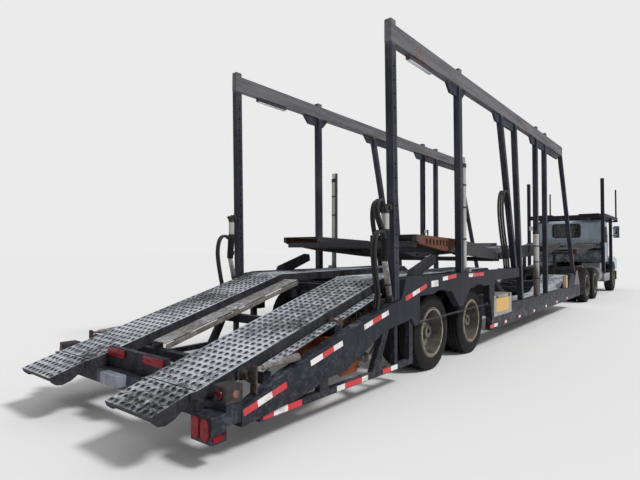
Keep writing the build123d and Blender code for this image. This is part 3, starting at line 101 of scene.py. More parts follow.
# Side frames, cross members and posts.
# Near-black blue-grey paint over steel, cloudy, streaked, chipped, salted near the road and a little frosted
# on top. The top rails are lighter, in streaks along them, and the tail posts are drilled for deck pins.
class Wire:
    """One output of a shader node, which sums and mixes like a number."""

    def __init__(self, tree, socket):
        self.tree = tree
        self.socket = socket

    def node(self, kind, settings, sockets, output=0):
        """Any other node: its settings first, then what goes into its sockets."""
        made = self.tree.nodes.new(kind)
        for name, value in settings.items():
            setattr(made, name, value)
        for name, value in sockets.items():
            if isinstance(value, Wire):
                self.tree.links.new(value.socket, made.inputs[name])
            else:
                made.inputs[name].default_value = value
        return Wire(self.tree, made.outputs[output])

    def maths(self, operation, other=0.0):
        return self.node("ShaderNodeMath", {"operation": operation}, {0: self, 1: other})

    def __add__(self, other):
        return self.maths("ADD", other)

    def __sub__(self, other):
        return self.maths("SUBTRACT", other)

    def __rsub__(self, other):
        return self.maths("MULTIPLY", -1.0).maths("ADD", other)

    def __mul__(self, other):
        return self.maths("MULTIPLY", other)

    __radd__, __rmul__ = __add__, __mul__

    def step(self, low, high):
        """0 below low, 1 above high and smooth between."""
        return self.node(
            "ShaderNodeMapRange",
            {"interpolation_type": "SMOOTHSTEP"},
            {"Value": self, "From Min": low, "From Max": high},
        )

    def mix(self, without, full):
        """A colour that goes from one to another as this goes from 0 to 1."""
        return self.node("ShaderNodeMix", {"data_type": "RGBA"}, {0: self, 6: without, 7: full}, 2)

    def stretch(self, x, y, z):
        return self.node("ShaderNodeVectorMath", {"operation": "MULTIPLY"}, {0: self, 1: (x, y, z)})

    def noise(self, scale, detail):
        return self.node("ShaderNodeTexNoise", {}, {"Vector": self, "Scale": scale, "Detail": detail})

    def part(self, index):
        return self.node("ShaderNodeSeparateXYZ", {}, {0: self}, index)

    def bump(self, strength, distance):
        return self.node("ShaderNodeBump", {}, {"Height": self, "Strength": strength, "Distance": distance})

    def facing_up(self):
        """1 on faces that look at the sky and 0 on walls."""
        return self.node("ShaderNodeNewGeometry", {}, {}, "Normal").part(2).step(0.55, 0.9)


def tint(red, green, blue):
    """A colour given as it shows, from 0 to 255, as linear light."""
    shares = [value / 255 for value in (red, green, blue)]
    return (*[s / 12.92 if s <= 0.04045 else ((s + 0.055) / 1.055) ** 2.4 for s in shares], 1.0)


def new_finish(name):
    """A material and its object coordinates."""
    material = bpy.data.materials.new(name)
    material.use_nodes = True
    coordinates = material.node_tree.nodes.new("ShaderNodeTexCoord")
    return material, Wire(material.node_tree, coordinates.outputs["Object"])


def coat(material, inputs):
    """Sets the inputs of a material's surface to constants or wires."""
    surface = material.node_tree.nodes["Principled BSDF"]
    for name, value in inputs.items():
        if isinstance(value, Wire):
            material.node_tree.links.new(value.socket, surface.inputs[name])
        else:
            surface.inputs[name].default_value = value
    return material


def dress(nodes, material):
    """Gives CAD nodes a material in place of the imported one."""
    for name in nodes:
        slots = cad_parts[name].data.materials
        for index in range(len(slots)):
            slots[index] = material


def worn_paint(name, paint, faded, bare, chips, frost, salt, roughness, frost_from=0.49):
    """Weathered paint: a tone, a faded tone and a bare one, with frost on top and road salt low down."""
    material, place = new_finish(name)
    clouds = place.noise(1.9, 5.0)
    streaks = place.stretch(16.0, 16.0, 1.3).noise(1.0, 3.0)
    grain = place.noise(34.0, 5.0)
    fine = place.noise(160.0, 2.0)
    tone = (0.35 * clouds + 0.4 * streaks + 0.25 * grain).step(0.40, 0.62).mix(tint(*paint), tint(*faded))
    chipped = (0.62 * grain + 0.38 * clouds).step(chips, chips + 0.035)
    tone = chipped.mix(tone, tint(*bare))
    belly = place.part(0).step(-5.4, -4.0)
    splash = (1.0 - place.part(2).step(0.15, 0.9)) * (0.35 + 0.65 * belly)
    splash = splash * (0.5 * grain + 0.5 * place.noise(11.0, 6.0)).step(0.44, 0.66)
    tone = (salt * splash).mix(tone, tint(128, 128, 133))
    frosted = 0.4 * place.noise(1.7, 6.0) + 0.3 * place.noise(19.0, 6.0) + 0.3 * fine
    frosted = frosted.step(frost_from, frost_from + 0.17) * place.facing_up()
    tone = (frost * frosted).mix(tone, tint(214, 219, 228))
    coat(material, {
        "Base Color": tone,
        "Roughness": 0.12 * grain + 0.25 * chipped + (roughness - 0.06),
        "Specular IOR Level": 0.28,
        "Normal": (grain + 0.35 * fine + 0.9 * frosted).bump(0.35, 0.004),
    })
    return material


frame_coat = worn_paint("frame_coat", (20, 21, 31), (34, 35, 47), (80, 58, 46), 0.66, 0.25, 0.6, 0.58)
dress(["side_frames", "cross_members", "headrack_frame"], frame_coat)

post_coat, post_place = new_finish("post_coat")
post_clouds = post_place.noise(2.3, 5.0)
post_grain = post_place.noise(40.0, 5.0)
post_streaks = post_place.stretch(18.0, 18.0, 0.8).noise(1.0, 4.0)
post_tone = (0.5 * post_clouds + 0.5 * post_streaks).step(0.36, 0.68).mix(tint(27, 29, 42), tint(54, 56, 68))
# Lighter streaks along the top rails
rail_height = post_place.part(2).step(3.66, 3.72)
rail_streaks = post_place.stretch(1.2, 8.0, 14.0).noise(1.0, 4.0).step(0.3, 0.62)
post_tone = (rail_height * (0.45 + 0.5 * rail_streaks)).mix(post_tone, tint(104, 103, 106))
post_chips = (0.62 * post_grain + 0.38 * post_clouds).step(0.6, 0.64)
post_tone = post_chips.mix(post_tone, tint(98, 66, 48))
# Pin holes between the bored ones, painted as dark spots of shade, every 37.5 mm up the two drilled posts,
# which lean forwards a little
rear_x = -6.260
pin_step, pin_hole = 0.0375, 0.010
post_foot_x, post_foot_z, post_lean = -1.030, 0.94, 0.0208
up_hole = ((post_place.part(2).maths("DIVIDE", pin_step) + 0.5).maths("FRACT") - 0.5) * pin_step
along_post = post_place.part(0) - (rear_x + post_foot_x + post_lean * post_foot_z)
along_post = along_post + post_lean * post_place.part(2)
from_hole = (along_post * along_post + up_hole * up_hole).maths("SQRT")
painted_hole_shade = 1.0 - from_hole.step(pin_hole - 0.002, pin_hole + 0.001)
painted_hole_shade = painted_hole_shade * (1.0 - post_place.part(2).step(3.5, 3.52))
post_tone = painted_hole_shade.mix(post_tone, tint(6, 6, 8))
coat(post_coat, {
    "Base Color": post_tone,
    "Roughness": 0.42 + 0.2 * post_grain,
    "Specular IOR Level": 0.28,
    "Normal": (post_grain + 0.6 * post_streaks).bump(0.3, 0.004),
})
dress(["post_frames"], post_coat)

# Runways and decks.
# Darker paint over steel, with rust in patches and frost on what faces the sky, most of all on the runways.
# The rear deck's outer girders are bare, rust-brown steel for a stretch.
deck_coat = worn_paint("deck_coat", (28, 28, 34), (46, 46, 51), (98, 68, 50), 0.62, 0.5, 0.2, 0.62)
dress(["deck_front", "headrack_deck", "tractor_deck"], deck_coat)
ramp_coat = worn_paint("ramp_coat", (30, 30, 36), (52, 52, 57), (92, 70, 56), 0.64, 0.8, 0.3, 0.62, 0.40)
dress(["runways"], ramp_coat)

rear_coat, rear_place = new_finish("rear_deck_coat")
rear_clouds = rear_place.noise(2.6, 5.0)
rear_grain = rear_place.noise(48.0, 5.0)
girder_only = rear_place.part(1).maths("ABSOLUTE").step(1.02, 1.06)
below_strap = 1.0 - rear_place.part(2).step(1.69, 1.71)
rust_reach = rear_place.part(0).step(-6.6, -6.3) * (1.0 - rear_place.part(0).step(-5.75, -5.4))
rust_reach = below_strap * girder_only * rust_reach
rusted = (rust_reach * 0.75 + rear_clouds * 0.6).step(0.5, 0.72)
rear_tone = rear_grain.step(0.35, 0.7).mix(tint(34, 34, 40), tint(60, 58, 60))
rear_tone = rusted.mix(rear_tone, rear_grain.step(0.35, 0.65).mix(tint(66, 40, 30), tint(112, 68, 48)))
rear_frost = rear_place.noise(3.2, 5.0).step(0.46, 0.6) * rear_place.facing_up()
rear_tone = (0.8 * rear_frost).mix(rear_tone, tint(214, 219, 228))
coat(rear_coat, {
    "Base Color": rear_tone,
    "Roughness": 0.6 + 0.25 * rusted,
    "Normal": (rear_grain + rear_frost).bump(0.5, 0.005),
})
dress(["deck_rear"], rear_coat)


# Perforations and ramp flaps.
# Every hole of the tail slope is punched with a raised collar that bites the tyres, and a thin dark disc of
# painted shade lies in each. The flaps are pressed sheet with the same holes, two cheeks and a hinge pin.
def make_piece(name, mesh, material, body, bevel=0.0, smooth=True):
    """Finishes a bmesh as a piece that rides a body and takes its colour from a slot."""
    if bevel:
        bmesh.ops.bevel(
            mesh, geom=mesh.edges[:], offset=bevel, segments=2, profile=0.5, affect="EDGES",
            clamp_overlap=True, material=-1,
        )
    bmesh.ops.recalc_face_normals(mesh, faces=mesh.faces)
    data = bpy.data.meshes.new(name)
    mesh.to_mesh(data)
    mesh.free()
    data.materials.append(material)
    if smooth:
        for face in data.polygons:
            face.use_smooth = True
        data.set_sharp_from_angle(angle=math.radians(38))
    piece = bpy.data.objects.new(name, data)
    bpy.context.scene.collection.objects.link(piece)
    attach(piece, body)
    return piece


def at(x, y, z):
    """A point whose distance forward is taken from the trailer's rear axle."""
    return Vector((rear_x + x, y, z))


def shift(mesh, made, distance):
    """Moves the vertices that an operator made."""
    verts = [item for item in made["geom"] if isinstance(item, bmesh.types.BMVert)]
    bmesh.ops.translate(mesh, vec=distance, verts=verts)


def spin_round(mesh, points, centre, axis, steps):
    """Turns a closed profile of points about an axis; returns the vertices of the ring."""
    before = set(mesh.verts)
    verts = [mesh.verts.new(point) for point in points]
    edges = [mesh.edges.new(pair) for pair in zip(verts, verts[1:] + verts[:1])]
    bmesh.ops.spin(
        mesh, geom=verts + edges, cent=centre, axis=axis, angle=2 * math.pi, steps=steps, use_merge=True,
        use_duplicate=False,
    )
    return [vert for vert in mesh.verts if vert not in before]


def merge(mesh):
    """Joins vertices that lie on each other, as at a ring's seam."""
    bmesh.ops.remove_doubles(mesh, verts=mesh.verts, dist=0.00005)


def repeat(mesh, count, step):
    """Lays copies of all that a mesh holds in a row, a step apart."""
    first = mesh.verts[:] + mesh.edges[:] + mesh.faces[:]
    for index in range(1, count):
        shift(mesh, bmesh.ops.duplicate(mesh, geom=first), Vector(step) * index)


hinge_x, hinge_z = -3.450, 0.500
slope_rise, slope_run, slope_edge = 0.670, 2.450, 0.450
hole_columns, hole_rows, hole_pitch = 8, 32, 0.075
first_column, first_row = 0.050, 0.060
strip_columns, strip_rows, strip_pitch, strip_share = 2, 23, 0.050, 0.78
strip_x, strip_y, strip_drop = -2.940, 1.1175, 0.090
hole_shade_radius, hole_shade_depth = 0.0186, 0.0008
# (radius, height) round the collar's section
collar = [(0.0255, 0.0003), (0.0215, 0.0055), (0.0190, 0.0055), (0.0180, 0.0003)]


slope_rings, slope_hole_shades = bmesh.new(), bmesh.new()
up_slope = Matrix.Rotation(-math.atan2(slope_rise, slope_run), 4, "Y")


def punch(edge, first_hole, rows, columns, pitch_across, share):
    """Adds collars, and dark discs of painted shade in them, for a field of holes that rises from an edge of
    the slope.
    """
    rings, hole_shades = bmesh.new(), bmesh.new()
    profile = [(radius * share, 0.0, height) for radius, height in collar]
    spin_round(rings, profile, (0.0, 0.0, 0.0), (0.0, 0.0, 1.0), 10)
    merge(rings)
    bmesh.ops.create_cone(
        hole_shades, cap_ends=True, segments=10, radius1=hole_shade_radius * share, radius2=hole_shade_radius * share,
        depth=hole_shade_depth, matrix=Matrix.Translation((0.0, 0.0, hole_shade_depth)),
    )
    place = Matrix.Translation(edge) @ up_slope @ Matrix.Translation(first_hole)
    for mesh, whole in ((rings, slope_rings), (hole_shades, slope_hole_shades)):
        repeat(mesh, columns, (0.0, pitch_across, 0.0))
        repeat(mesh, rows, (hole_pitch, 0.0, 0.0))
        mesh.transform(place)
        part = bpy.data.meshes.new("part")
        mesh.to_mesh(part)
        mesh.free()
        whole.from_mesh(part)


def grainy(name, scale, detail, fresh, worn, smooth, rough, strength, more, low=0.4):
    """A finish whose tone, roughness and bump follow one fine grain; more holds its plain constants."""
    material, place = new_finish(name)
    grain = place.noise(scale, detail)
    return coat(material, {
        "Base Color": grain.step(low, 0.7).mix(tint(*fresh), tint(*worn)),
        "Roughness": smooth + rough * grain,
        "Normal": grain.bump(strength, 0.001),
        **more,
    })


strip_z = hinge_z + (strip_x - hinge_x) * slope_rise / slope_run - strip_drop
for sign in (1, -1):
    slope_foot, first_hole = at(hinge_x, sign * slope_edge, hinge_z), (first_row, sign * first_column, 0.0)
    punch(slope_foot, first_hole, hole_rows, hole_columns, sign * hole_pitch, 1.0)
    # Narrow strip outside the slope and below it
    strip_foot = at(strip_x, sign * strip_y, strip_z)
    punch(strip_foot, (first_row, 0.0, 0.0), strip_rows, strip_columns, sign * strip_pitch, strip_share)
collar_coat = worn_paint("collar_coat", (58, 58, 62), (92, 92, 96), (110, 84, 66), 0.62, 0.9, 0.3, 0.5, 0.36)
# Near-black discs of painted shade, for the depth of each hole
hole_shade_dark = grainy(
    "hole_shade_dark", 90.0, 3.0, (8, 8, 10), (22, 20, 20), 0.85, 0.1, 0.2, {"Specular IOR Level": 0.1}
)
make_piece("slope_collars", slope_rings, collar_coat, "trailer", smooth=False)
make_piece("slope_hole_shades", slope_hole_shades, hole_shade_dark, "trailer", smooth=False)


def add_outline(mesh, outline, low_y, high_y):
    """A plate cut to an outline of (distance forward of the rear axle, height), from one y to another."""
    low_y, high_y = sorted((low_y, high_y))
    face = mesh.faces.new([mesh.verts.new(at(x, low_y, z)) for x, z in outline])
    shift(mesh, bmesh.ops.extrude_face_region(mesh, geom=[face]), (0.0, high_y - low_y, 0.0))


def add_rod(mesh, start, end, radius, tip=None, segments=16):
    """A round bar, tapered where the tip's radius is given."""
    start, end = Vector(start), Vector(end)
    turned = (end - start).to_track_quat("Z", "Y").to_matrix().to_4x4()
    bmesh.ops.create_cone(
        mesh, cap_ends=True, segments=segments, radius1=radius, radius2=radius if tip is None else tip,
        depth=(end - start).length, matrix=Matrix.Translation((start + end) / 2) @ turned,
    )


def add_bar(mesh, y, start, end, radius, tip=None, segments=16):
    """A round bar at one y, between points of (distance forward of the rear axle, height)."""
    add_rod(mesh, at(start[0], y, start[1]), at(end[0], y, end[1]), radius, tip, segments)


tip_x, tip_z, pin_x, pin_z, pin_radius = -3.800, 0.402, -3.470, 0.486, 0.014
flap_low, flap_high, cheek_thickness, lip_gap = 0.470, 1.055, 0.010, 0.0105
flap_top = pin_z + pin_radius
flap_length = math.hypot(pin_x - tip_x, flap_top - tip_z)
flap_angle = math.atan2(flap_top - tip_z, pin_x - tip_x)
flap_cheek = [
    (tip_x, tip_z - 0.003), (pin_x, pin_z + 0.011), (pin_x, pin_z - 0.014), (-3.500, 0.425), (-3.620, 0.345),
    (-3.690, 0.322), (-3.745, 0.330), (-3.785, 0.362),
]
flap_lip = [
    (tip_x, tip_z), (tip_x + 0.016, tip_z + 0.002), (tip_x + 0.020, tip_z - 0.022),
    (tip_x + 0.004, tip_z - 0.026),
]
# How far in and up each ring of a hole goes: the collar's slope, its rim and the wall down through the sheet
hole_rings = [(0.003, 0.005), (0.002, 0.0), (0.0005, -0.020)]
sides = (("left", 1), ("right", -1))
for side, sign in sides:
    flap = bmesh.new()
    bmesh.ops.create_grid(flap, x_segments=5, y_segments=8, size=0.5)
    bmesh.ops.scale(flap, vec=(flap_length, flap_high - flap_low, 1.0), verts=flap.verts)
    cells = flap.faces[:]
    bmesh.ops.inset_individual(flap, faces=cells, thickness=0.0155, use_even_offset=True)
    corners = list({vert for face in cells for vert in face.verts})
    bmesh.ops.bevel(flap, geom=corners, offset=0.011, segments=1, profile=0.5, affect="VERTICES", material=-1)
    holes = [face for face in flap.faces if len(face.verts) == 8]
    for inwards, up in hole_rings:
        bmesh.ops.inset_individual(flap, faces=holes, thickness=inwards, depth=up, use_even_offset=True)
    bmesh.ops.delete(flap, geom=holes, context="FACES_ONLY")
    bmesh.ops.solidify(flap, geom=flap.faces[:], thickness=0.003)
    middle = at((tip_x + pin_x) / 2, sign * (flap_low + flap_high) / 2, (tip_z + flap_top) / 2)
    flap.transform(Matrix.Translation(middle) @ Matrix.Rotation(-flap_angle, 4, "Y"))
    for low_y in (flap_low, flap_high - cheek_thickness):
        add_outline(flap, flap_cheek, sign * low_y, sign * (low_y + cheek_thickness))
    add_outline(flap, flap_lip, sign * (flap_low + lip_gap), sign * (flap_high - lip_gap))
    add_rod(flap, at(pin_x, sign * 0.450, pin_z), at(pin_x, sign * 1.075, pin_z), pin_radius, segments=20)
    flap_piece = make_piece(f"flap_{side}", flap, ramp_coat, f"ramp_flap_{side}", smooth=False)
    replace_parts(flap_piece, f"ramp_flap_{side}")


# Tyres.
# Each stands for the plain CAD tyre of the same wheel: a turned rubber section with shoulder ribs and
# grooves, lugged on the drive axles, dusty on the walls.
def add_turned(mesh, centre, profile, segments):
    """Turns a closed profile of (distance across the vehicle, radius) about an axle; returns its vertices."""
    points = [(centre[0], centre[1] + y, centre[2] + radius) for y, radius in profile]
    return spin_round(mesh, points, centre, (0.0, 1.0, 0.0), segments)


rim_seat = 0.286
wheels = {}
for side, sign in sides:
    for axle in ("trailer_rear", "trailer_front", "drive_rear", "drive_front"):
        wheels[f"{axle}_wheel_{side}"] = (f"{axle}_wheel_{side}_tyres", sign, axle.startswith("drive"))
    wheels[f"steer_wheel_{side}"] = (f"steer_tyre_{side}", sign, False)

rubber, rubber_place = new_finish("tyre_rubber")
rubber_grain = rubber_place.noise(60.0, 4.0)
dusted = (0.7 * rubber_place.noise(6.0, 4.0) + 0.3 * rubber_grain).step(0.42, 0.66)
coat(rubber, {
    "Base Color": (0.35 * dusted).mix(tint(14, 14, 17), tint(54, 52, 53)),
    "Roughness": 0.68 + 0.25 * dusted,
    "Specular IOR Level": 0.25,
    "Normal": rubber_grain.bump(0.25, 0.003),
})


def tyre_section(half, radius, wall_top):
    """One tyre's closed section: bead, bulged wall with a scuff rib, shoulder and five ribs of tread."""
    wall = rim_seat + 0.45 * (radius - rim_seat)
    outer = [
        (0.80 * half, rim_seat + 0.002),
        (0.90 * half, rim_seat + 0.018),
        (0.985 * half, rim_seat + 0.25 * (radius - rim_seat)),
        (1.0 * half, wall),
        (0.995 * half, wall + 0.018),
        (0.975 * half, wall + 0.022),
        (0.93 * half, rim_seat + 0.80 * (radius - rim_seat)),
        (0.86 * half, wall_top),
        (0.80 * half, radius - 0.002),
    ]
    tread = []
    for groove in (0.58, 0.20):
        for aside, drop in ((0.05, 0.0), (0.035, 0.012), (-0.035, 0.012), (-0.05, 0.0)):
            tread.append(((groove + aside) * half, radius - drop))
    crown = tread + [(-y, out) for y, out in reversed(tread)]
    return outer + crown + [(-y, out) for y, out in reversed(outer)]


dual_half, tyre_segments = 0.1275, 72
tyre_step = 2 * math.pi / tyre_segments
for body, (node, sign, lugged) in wheels.items():
    low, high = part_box(node)
    radius = (high.z - low.z) / 2
    middle = (low + high) / 2
    if body.startswith("steer"):
        places, half = [middle.y], (high.y - low.y) / 2
    else:
        places, half = [low.y + dual_half, high.y - dual_half], dual_half
    tyre_mesh = bmesh.new()
    for y in places:
        section = tyre_section(half, radius, radius - 0.016)
        for vert in add_turned(tyre_mesh, (middle.x, y, middle.z), section, tyre_segments):
            across = abs(vert.co.y - y) / half
            out = math.hypot(vert.co.x - middle.x, vert.co.z - middle.z)
            turn = round(math.atan2(vert.co.z - middle.z, vert.co.x - middle.x) / tyre_step)
            notch = turn % 3 == 0 if lugged else turn % 2 == 0
            deep = 0.013 if lugged else 0.005
            if notch and out > radius - 0.02 and (lugged or across > 0.7):
                vert.co.x = middle.x + (vert.co.x - middle.x) * (1 - deep / out)
                vert.co.z = middle.z + (vert.co.z - middle.z) * (1 - deep / out)
    merge(tyre_mesh)
    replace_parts(make_piece(f"{body}_rubber", tyre_mesh, rubber, body), node)

# Rims, their rolled edges and nuts.
# Dished steel discs in dirty cream paint, with painted shade darkening the inside of the dish, a rolled bead
# round each edge painted pale as a highlight, and a circle of ten plated nuts on the disc.
rim_coat, rim_place = new_finish("rim_coat")
rim_clouds = rim_place.noise(7.0, 5.0)
rim_grain = rim_place.noise(70.0, 4.0)
grimy = (0.6 * rim_clouds + 0.4 * rim_grain).step(0.36, 0.68)
# Painted shade: the dish's inside takes a darker tone than the barrel wall
dish_shade = 1.0 - rim_place.part(1).maths("ABSOLUTE").step(0.93, 0.99)
wall_tone = grimy.mix(tint(116, 111, 104), tint(66, 62, 58))
coat(rim_coat, {
    "Base Color": (0.75 * dish_shade).mix(wall_tone, grimy.mix(tint(50, 47, 47), tint(30, 28, 27))),
    "Roughness": 0.5 + 0.35 * grimy,
    "Specular IOR Level": 0.3,
    "Normal": rim_grain.bump(0.3, 0.002),
})
dress([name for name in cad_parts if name.endswith("_rims") or name.startswith("steer_rim")], rim_coat)

# A pale bead whose colour is a painted highlight along each rim edge, varied by wear
flange_highlight_coat, flange_place = new_finish("flange_highlight_coat")
flange_wear = (0.6 * flange_place.noise(12.0, 4.0) + 0.4 * flange_place.noise(80.0, 3.0)).step(0.4, 0.62)
coat(flange_highlight_coat, {
    "Base Color": flange_wear.mix(tint(168, 162, 148), tint(104, 96, 86)),
    "Roughness": 0.45 + 0.3 * flange_wear,
    "Normal": flange_wear.bump(0.2, 0.001),
})
tenths = [2 * math.pi * step / 10 for step in range(10)]
flange_radius, bead_radius = 0.278, 0.0065
bead = [(bead_radius * math.cos(angle), flange_radius + bead_radius * math.sin(angle)) for angle in tenths]
for body, (node, sign, lugged) in wheels.items():
    low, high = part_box(node.replace("_tyres", "_rims").replace("tyre", "rim"))
    middle = (low + high) / 2
    rim_edges = [high.y, low.y]
    if body.startswith("steer"):
        rim_edges = [high.y if sign > 0 else low.y]
    flange_mesh = bmesh.new()
    for edge_y in rim_edges:
        add_turned(flange_mesh, (middle.x, edge_y, middle.z), bead, 64)
    merge(flange_mesh)
    make_piece(f"{body}_flanges", flange_mesh, flange_highlight_coat, body)

nut_steel = grainy("nut_steel", 90.0, 3.0, (120, 116, 110), (96, 66, 48), 0.35, 0.4, 0.2, {"Metallic": 0.7})
nut_circle = 0.143
nut_stages = [
    # from and to, outwards from the disc's face, radius and number of facets
    (-0.002, 0.006, 0.026, 20),
    (0.006, 0.030, 0.019, 6),
    (0.030, 0.044, 0.010, 12),
]
for body, (node, sign, lugged) in wheels.items():
    low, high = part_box(node)
    middle = (low + high) / 2
    disc_face = 1.125 if body.startswith("steer") else 0.9285
    nut_mesh = bmesh.new()
    for angle in tenths:
        x, z = middle.x + nut_circle * math.cos(angle), middle.z + nut_circle * math.sin(angle)
        for start, end, radius, facets in nut_stages:
            inner, outer = sign * (disc_face + start), sign * (disc_face + end)
            add_rod(nut_mesh, (x, inner, z), (x, outer, z), radius, segments=facets)
    make_piece(f"{body}_nuts", nut_mesh, nut_steel, body)

# Axles, knuckles, springs and the winch bar.
# Greasy cast and forged steel, brown with road dirt.
cast_coat = worn_paint("cast_coat", (44, 40, 38), (72, 64, 58), (104, 74, 54), 0.56, 0.0, 0.4, 0.75)
dress(["front_axle", "drive_axles", "trailer_axles", "knuckle_left", "knuckle_right", "engine"], cast_coat)
chassis_coat = worn_paint("chassis_coat", (34, 34, 38), (54, 53, 56), (88, 62, 48), 0.62, 0.3, 0.4, 0.6)
dress(["chassis", "deck_supports", "winch_bar"], chassis_coat)

# Lift cylinders.
# Pale painted barrels, grimy at the foot, with ground rods, a black gland nut at each top and dark bands. The
# tail pair is slimmer and leans, with a rubber boot and a shroud under its pinned eye.
barrel_coat, barrel_place = new_finish("barrel_coat")
barrel_streaks = barrel_place.stretch(26.0, 26.0, 1.6).noise(1.0, 4.0)
barrel_grain = barrel_place.noise(50.0, 4.0)
barrel_foot = 1.0 - barrel_place.part(2).step(0.95, 1.5)
barrel_dirt = (0.6 * barrel_streaks + 0.25 * barrel_grain + 0.25 * barrel_foot).step(0.42, 0.7)
coat(barrel_coat, {
    "Base Color": barrel_dirt.mix(tint(172, 172, 170), tint(88, 84, 82)),
    "Roughness": 0.4 + 0.35 * barrel_dirt,
    "Normal": barrel_grain.bump(0.2, 0.002),
})
ground_rod, rod_place = new_finish("ground_rod")
rod_lines = rod_place.stretch(3.0, 3.0, 140.0).noise(1.0, 2.0)
coat(ground_rod, {
    "Base Color": tint(196, 197, 200),
    "Metallic": 1.0,
    "Roughness": 0.14 + 0.18 * rod_lines,
    "Normal": rod_lines.bump(0.05, 0.0005),
})
dress(["lift_rods_rear", "lift_rods_front"], ground_rod)

gland_black = grainy("gland_black", 70.0, 3.0, (24, 24, 26), (60, 52, 46), 0.5, 0.2, 0.2, {})
barrels = [
    # forward of the rear axle, across, heights of foot, top and band, barrel's radius, rod's radius
    (1.060, 1.157, 1.180, 2.720, 2.08, 0.040, 0.022),
    (4.550, 1.2275, 0.600, 1.870, 1.25, 0.055, 0.025),
]
gland_depth, band_height, foot_height, seat_gap, frame_inside = 0.060, 0.022, 0.030, 0.0005, 1.255


def add_ring(mesh, centre, inner, outer, height):
    """An upright ring, open in the middle."""
    corners = ((inner, 0.0), (outer, 0.0), (outer, height), (inner, height))
    points = [centre + Vector((radius, 0.0, up)) for radius, up in corners]
    spin_round(mesh, points, centre, (0.0, 0.0, 1.0), 28)


gland_mesh, tube_mesh, boot_mesh = bmesh.new(), bmesh.new(), bmesh.new()
for x, y, foot, top, band, barrel_radius, rod_radius in barrels:
    tube_height = top - foot - foot_height
    foot_block = [
        (x - barrel_radius, foot + seat_gap), (x + barrel_radius, foot + seat_gap),
        (x + barrel_radius - 0.01, foot + 0.045), (x - barrel_radius + 0.01, foot + 0.045),
    ]
    for sign in (1, -1):
        gland = at(x, sign * y, top - gland_depth)
        add_ring(gland_mesh, gland, barrel_radius - 0.001, barrel_radius + 0.004, gland_depth - 0.002)
        for height in (band, (band + top) / 2, (band + foot) / 2):
            ring = at(x, sign * y, height)
            add_ring(gland_mesh, ring, barrel_radius - 0.001, barrel_radius + 0.003, band_height)
        tube = at(x, sign * y, foot + foot_height)
        add_ring(tube_mesh, tube, rod_radius + seat_gap, barrel_radius, tube_height)
        seat = at(x, sign * y, foot + seat_gap)
        add_rod(tube_mesh, seat, tube + Vector((0.0, 0.0, 0.001)), barrel_radius + 0.004, segments=28)
        add_outline(tube_mesh, foot_block, sign * (y + 0.5 * barrel_radius), sign * frame_inside)
tail_y = 1.222
tail_lengths = [
    # mesh, start and end as (forward of the rear axle, height), radius at the start and at the end
    (tube_mesh, (-1.101, 0.955), (-1.206, 1.370), 0.031, 0.031),
    (boot_mesh, (-1.206, 1.370), (-1.184, 1.680), 0.041, 0.045),
    (tube_mesh, (-1.184, 1.680), (-1.184, 1.865), 0.037, 0.037),
    (gland_mesh, (-1.106, 0.975), (-1.113, 1.003), 0.036, 0.036),
    (gland_mesh, (-1.140, 1.109), (-1.145, 1.129), 0.034, 0.034),
    (gland_mesh, (-1.184, 1.668), (-1.184, 1.700), 0.041, 0.041),
    (gland_mesh, (-1.184, 1.865), (-1.184, 1.905), 0.040, 0.034),
    (gland_mesh, (-1.190, 1.890), (-1.245, 1.935), 0.022, 0.020),
    (boot_mesh, (-1.198, 1.420), (-1.193, 1.470), 0.048, 0.048),
]
tail_foot = [(-1.140, 0.9305), (-1.062, 0.9395), (-1.075, 0.985), (-1.125, 0.985)]
tail_link = [(-1.215, 1.880), (-1.0995, 1.900), (-1.0995, 1.965), (-1.170, 1.965), (-1.215, 1.930)]
for y in (tail_y, -tail_y):
    for mesh, start, end, start_radius, end_radius in tail_lengths:
        add_bar(mesh, y, start, end, start_radius, end_radius, 24)
    add_outline(gland_mesh, tail_foot, y - 0.040, y + 0.040)
    add_outline(gland_mesh, tail_link, y - 0.030, y + 0.030)
    add_rod(gland_mesh, at(-1.150, y - 0.048, 1.930), at(-1.150, y + 0.048, 1.930), 0.024, segments=20)
merge(gland_mesh)
merge(tube_mesh)
make_piece("cylinder_glands", gland_mesh, gland_black, "trailer")
make_piece("cylinder_boots", boot_mesh, rubber, "trailer", bevel=0.003)
barrel_piece = make_piece("cylinder_barrels", tube_mesh, barrel_coat, "trailer")
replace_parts(barrel_piece, "lift_barrels")

# Lift hoses.
# Black rubber hose with a woven look, dulled by weather, clipped in pairs and threes beside the cylinders
# and up the leaning posts.
hose_rubber = grainy("hose_rubber", 220.0, 2.0, (20, 20, 22), (44, 43, 44), 0.6, 0.2, 0.4, {}, 0.35)
hose_radius = 0.017
hose_runs = [
    # distances across, share of the full radius, points as (forward of the rear axle, height)
    ((-1.204, -1.240), 1.0, [
        (-1.215, 1.900), (-1.245, 1.990), (-1.330, 2.000), (-1.375, 1.935), (-1.358, 1.850), (-1.310, 1.770),
        (-1.255, 1.690), (-1.222, 1.600),
    ]),
    ((1.204, 1.240, -1.204, -1.240), 1.0, [
        (-1.225, 1.640), (-1.290, 1.690), (-1.390, 1.640), (-1.425, 1.480), (-1.410, 1.330), (-1.388, 1.220),
        (-1.366, 1.110), (-1.335, 1.000), (-1.380, 0.873),
    ]),
    ((1.200, 1.2365, 1.273, -1.200, -1.2365, -1.273), 1.0, [
        (2.780, 2.250), (2.730, 2.400), (2.600, 2.490), (2.460, 2.420), (2.400, 2.200), (2.440, 1.950),
        (2.540, 1.650), (2.660, 1.400), (2.700, 1.182),
    ]),
    ((1.235, 1.265, -1.235, -1.265), 0.6, [
        (4.635, 1.850), (4.640, 1.600), (4.632, 1.300), (4.642, 1.000), (4.630, 0.606),
    ]),
]
hose_curve = bpy.data.curves.new("hose_runs", "CURVE")
hose_curve.dimensions = "3D"
hose_curve.bevel_depth = hose_radius
hose_curve.bevel_resolution = 3
hose_curve.resolution_u = 10
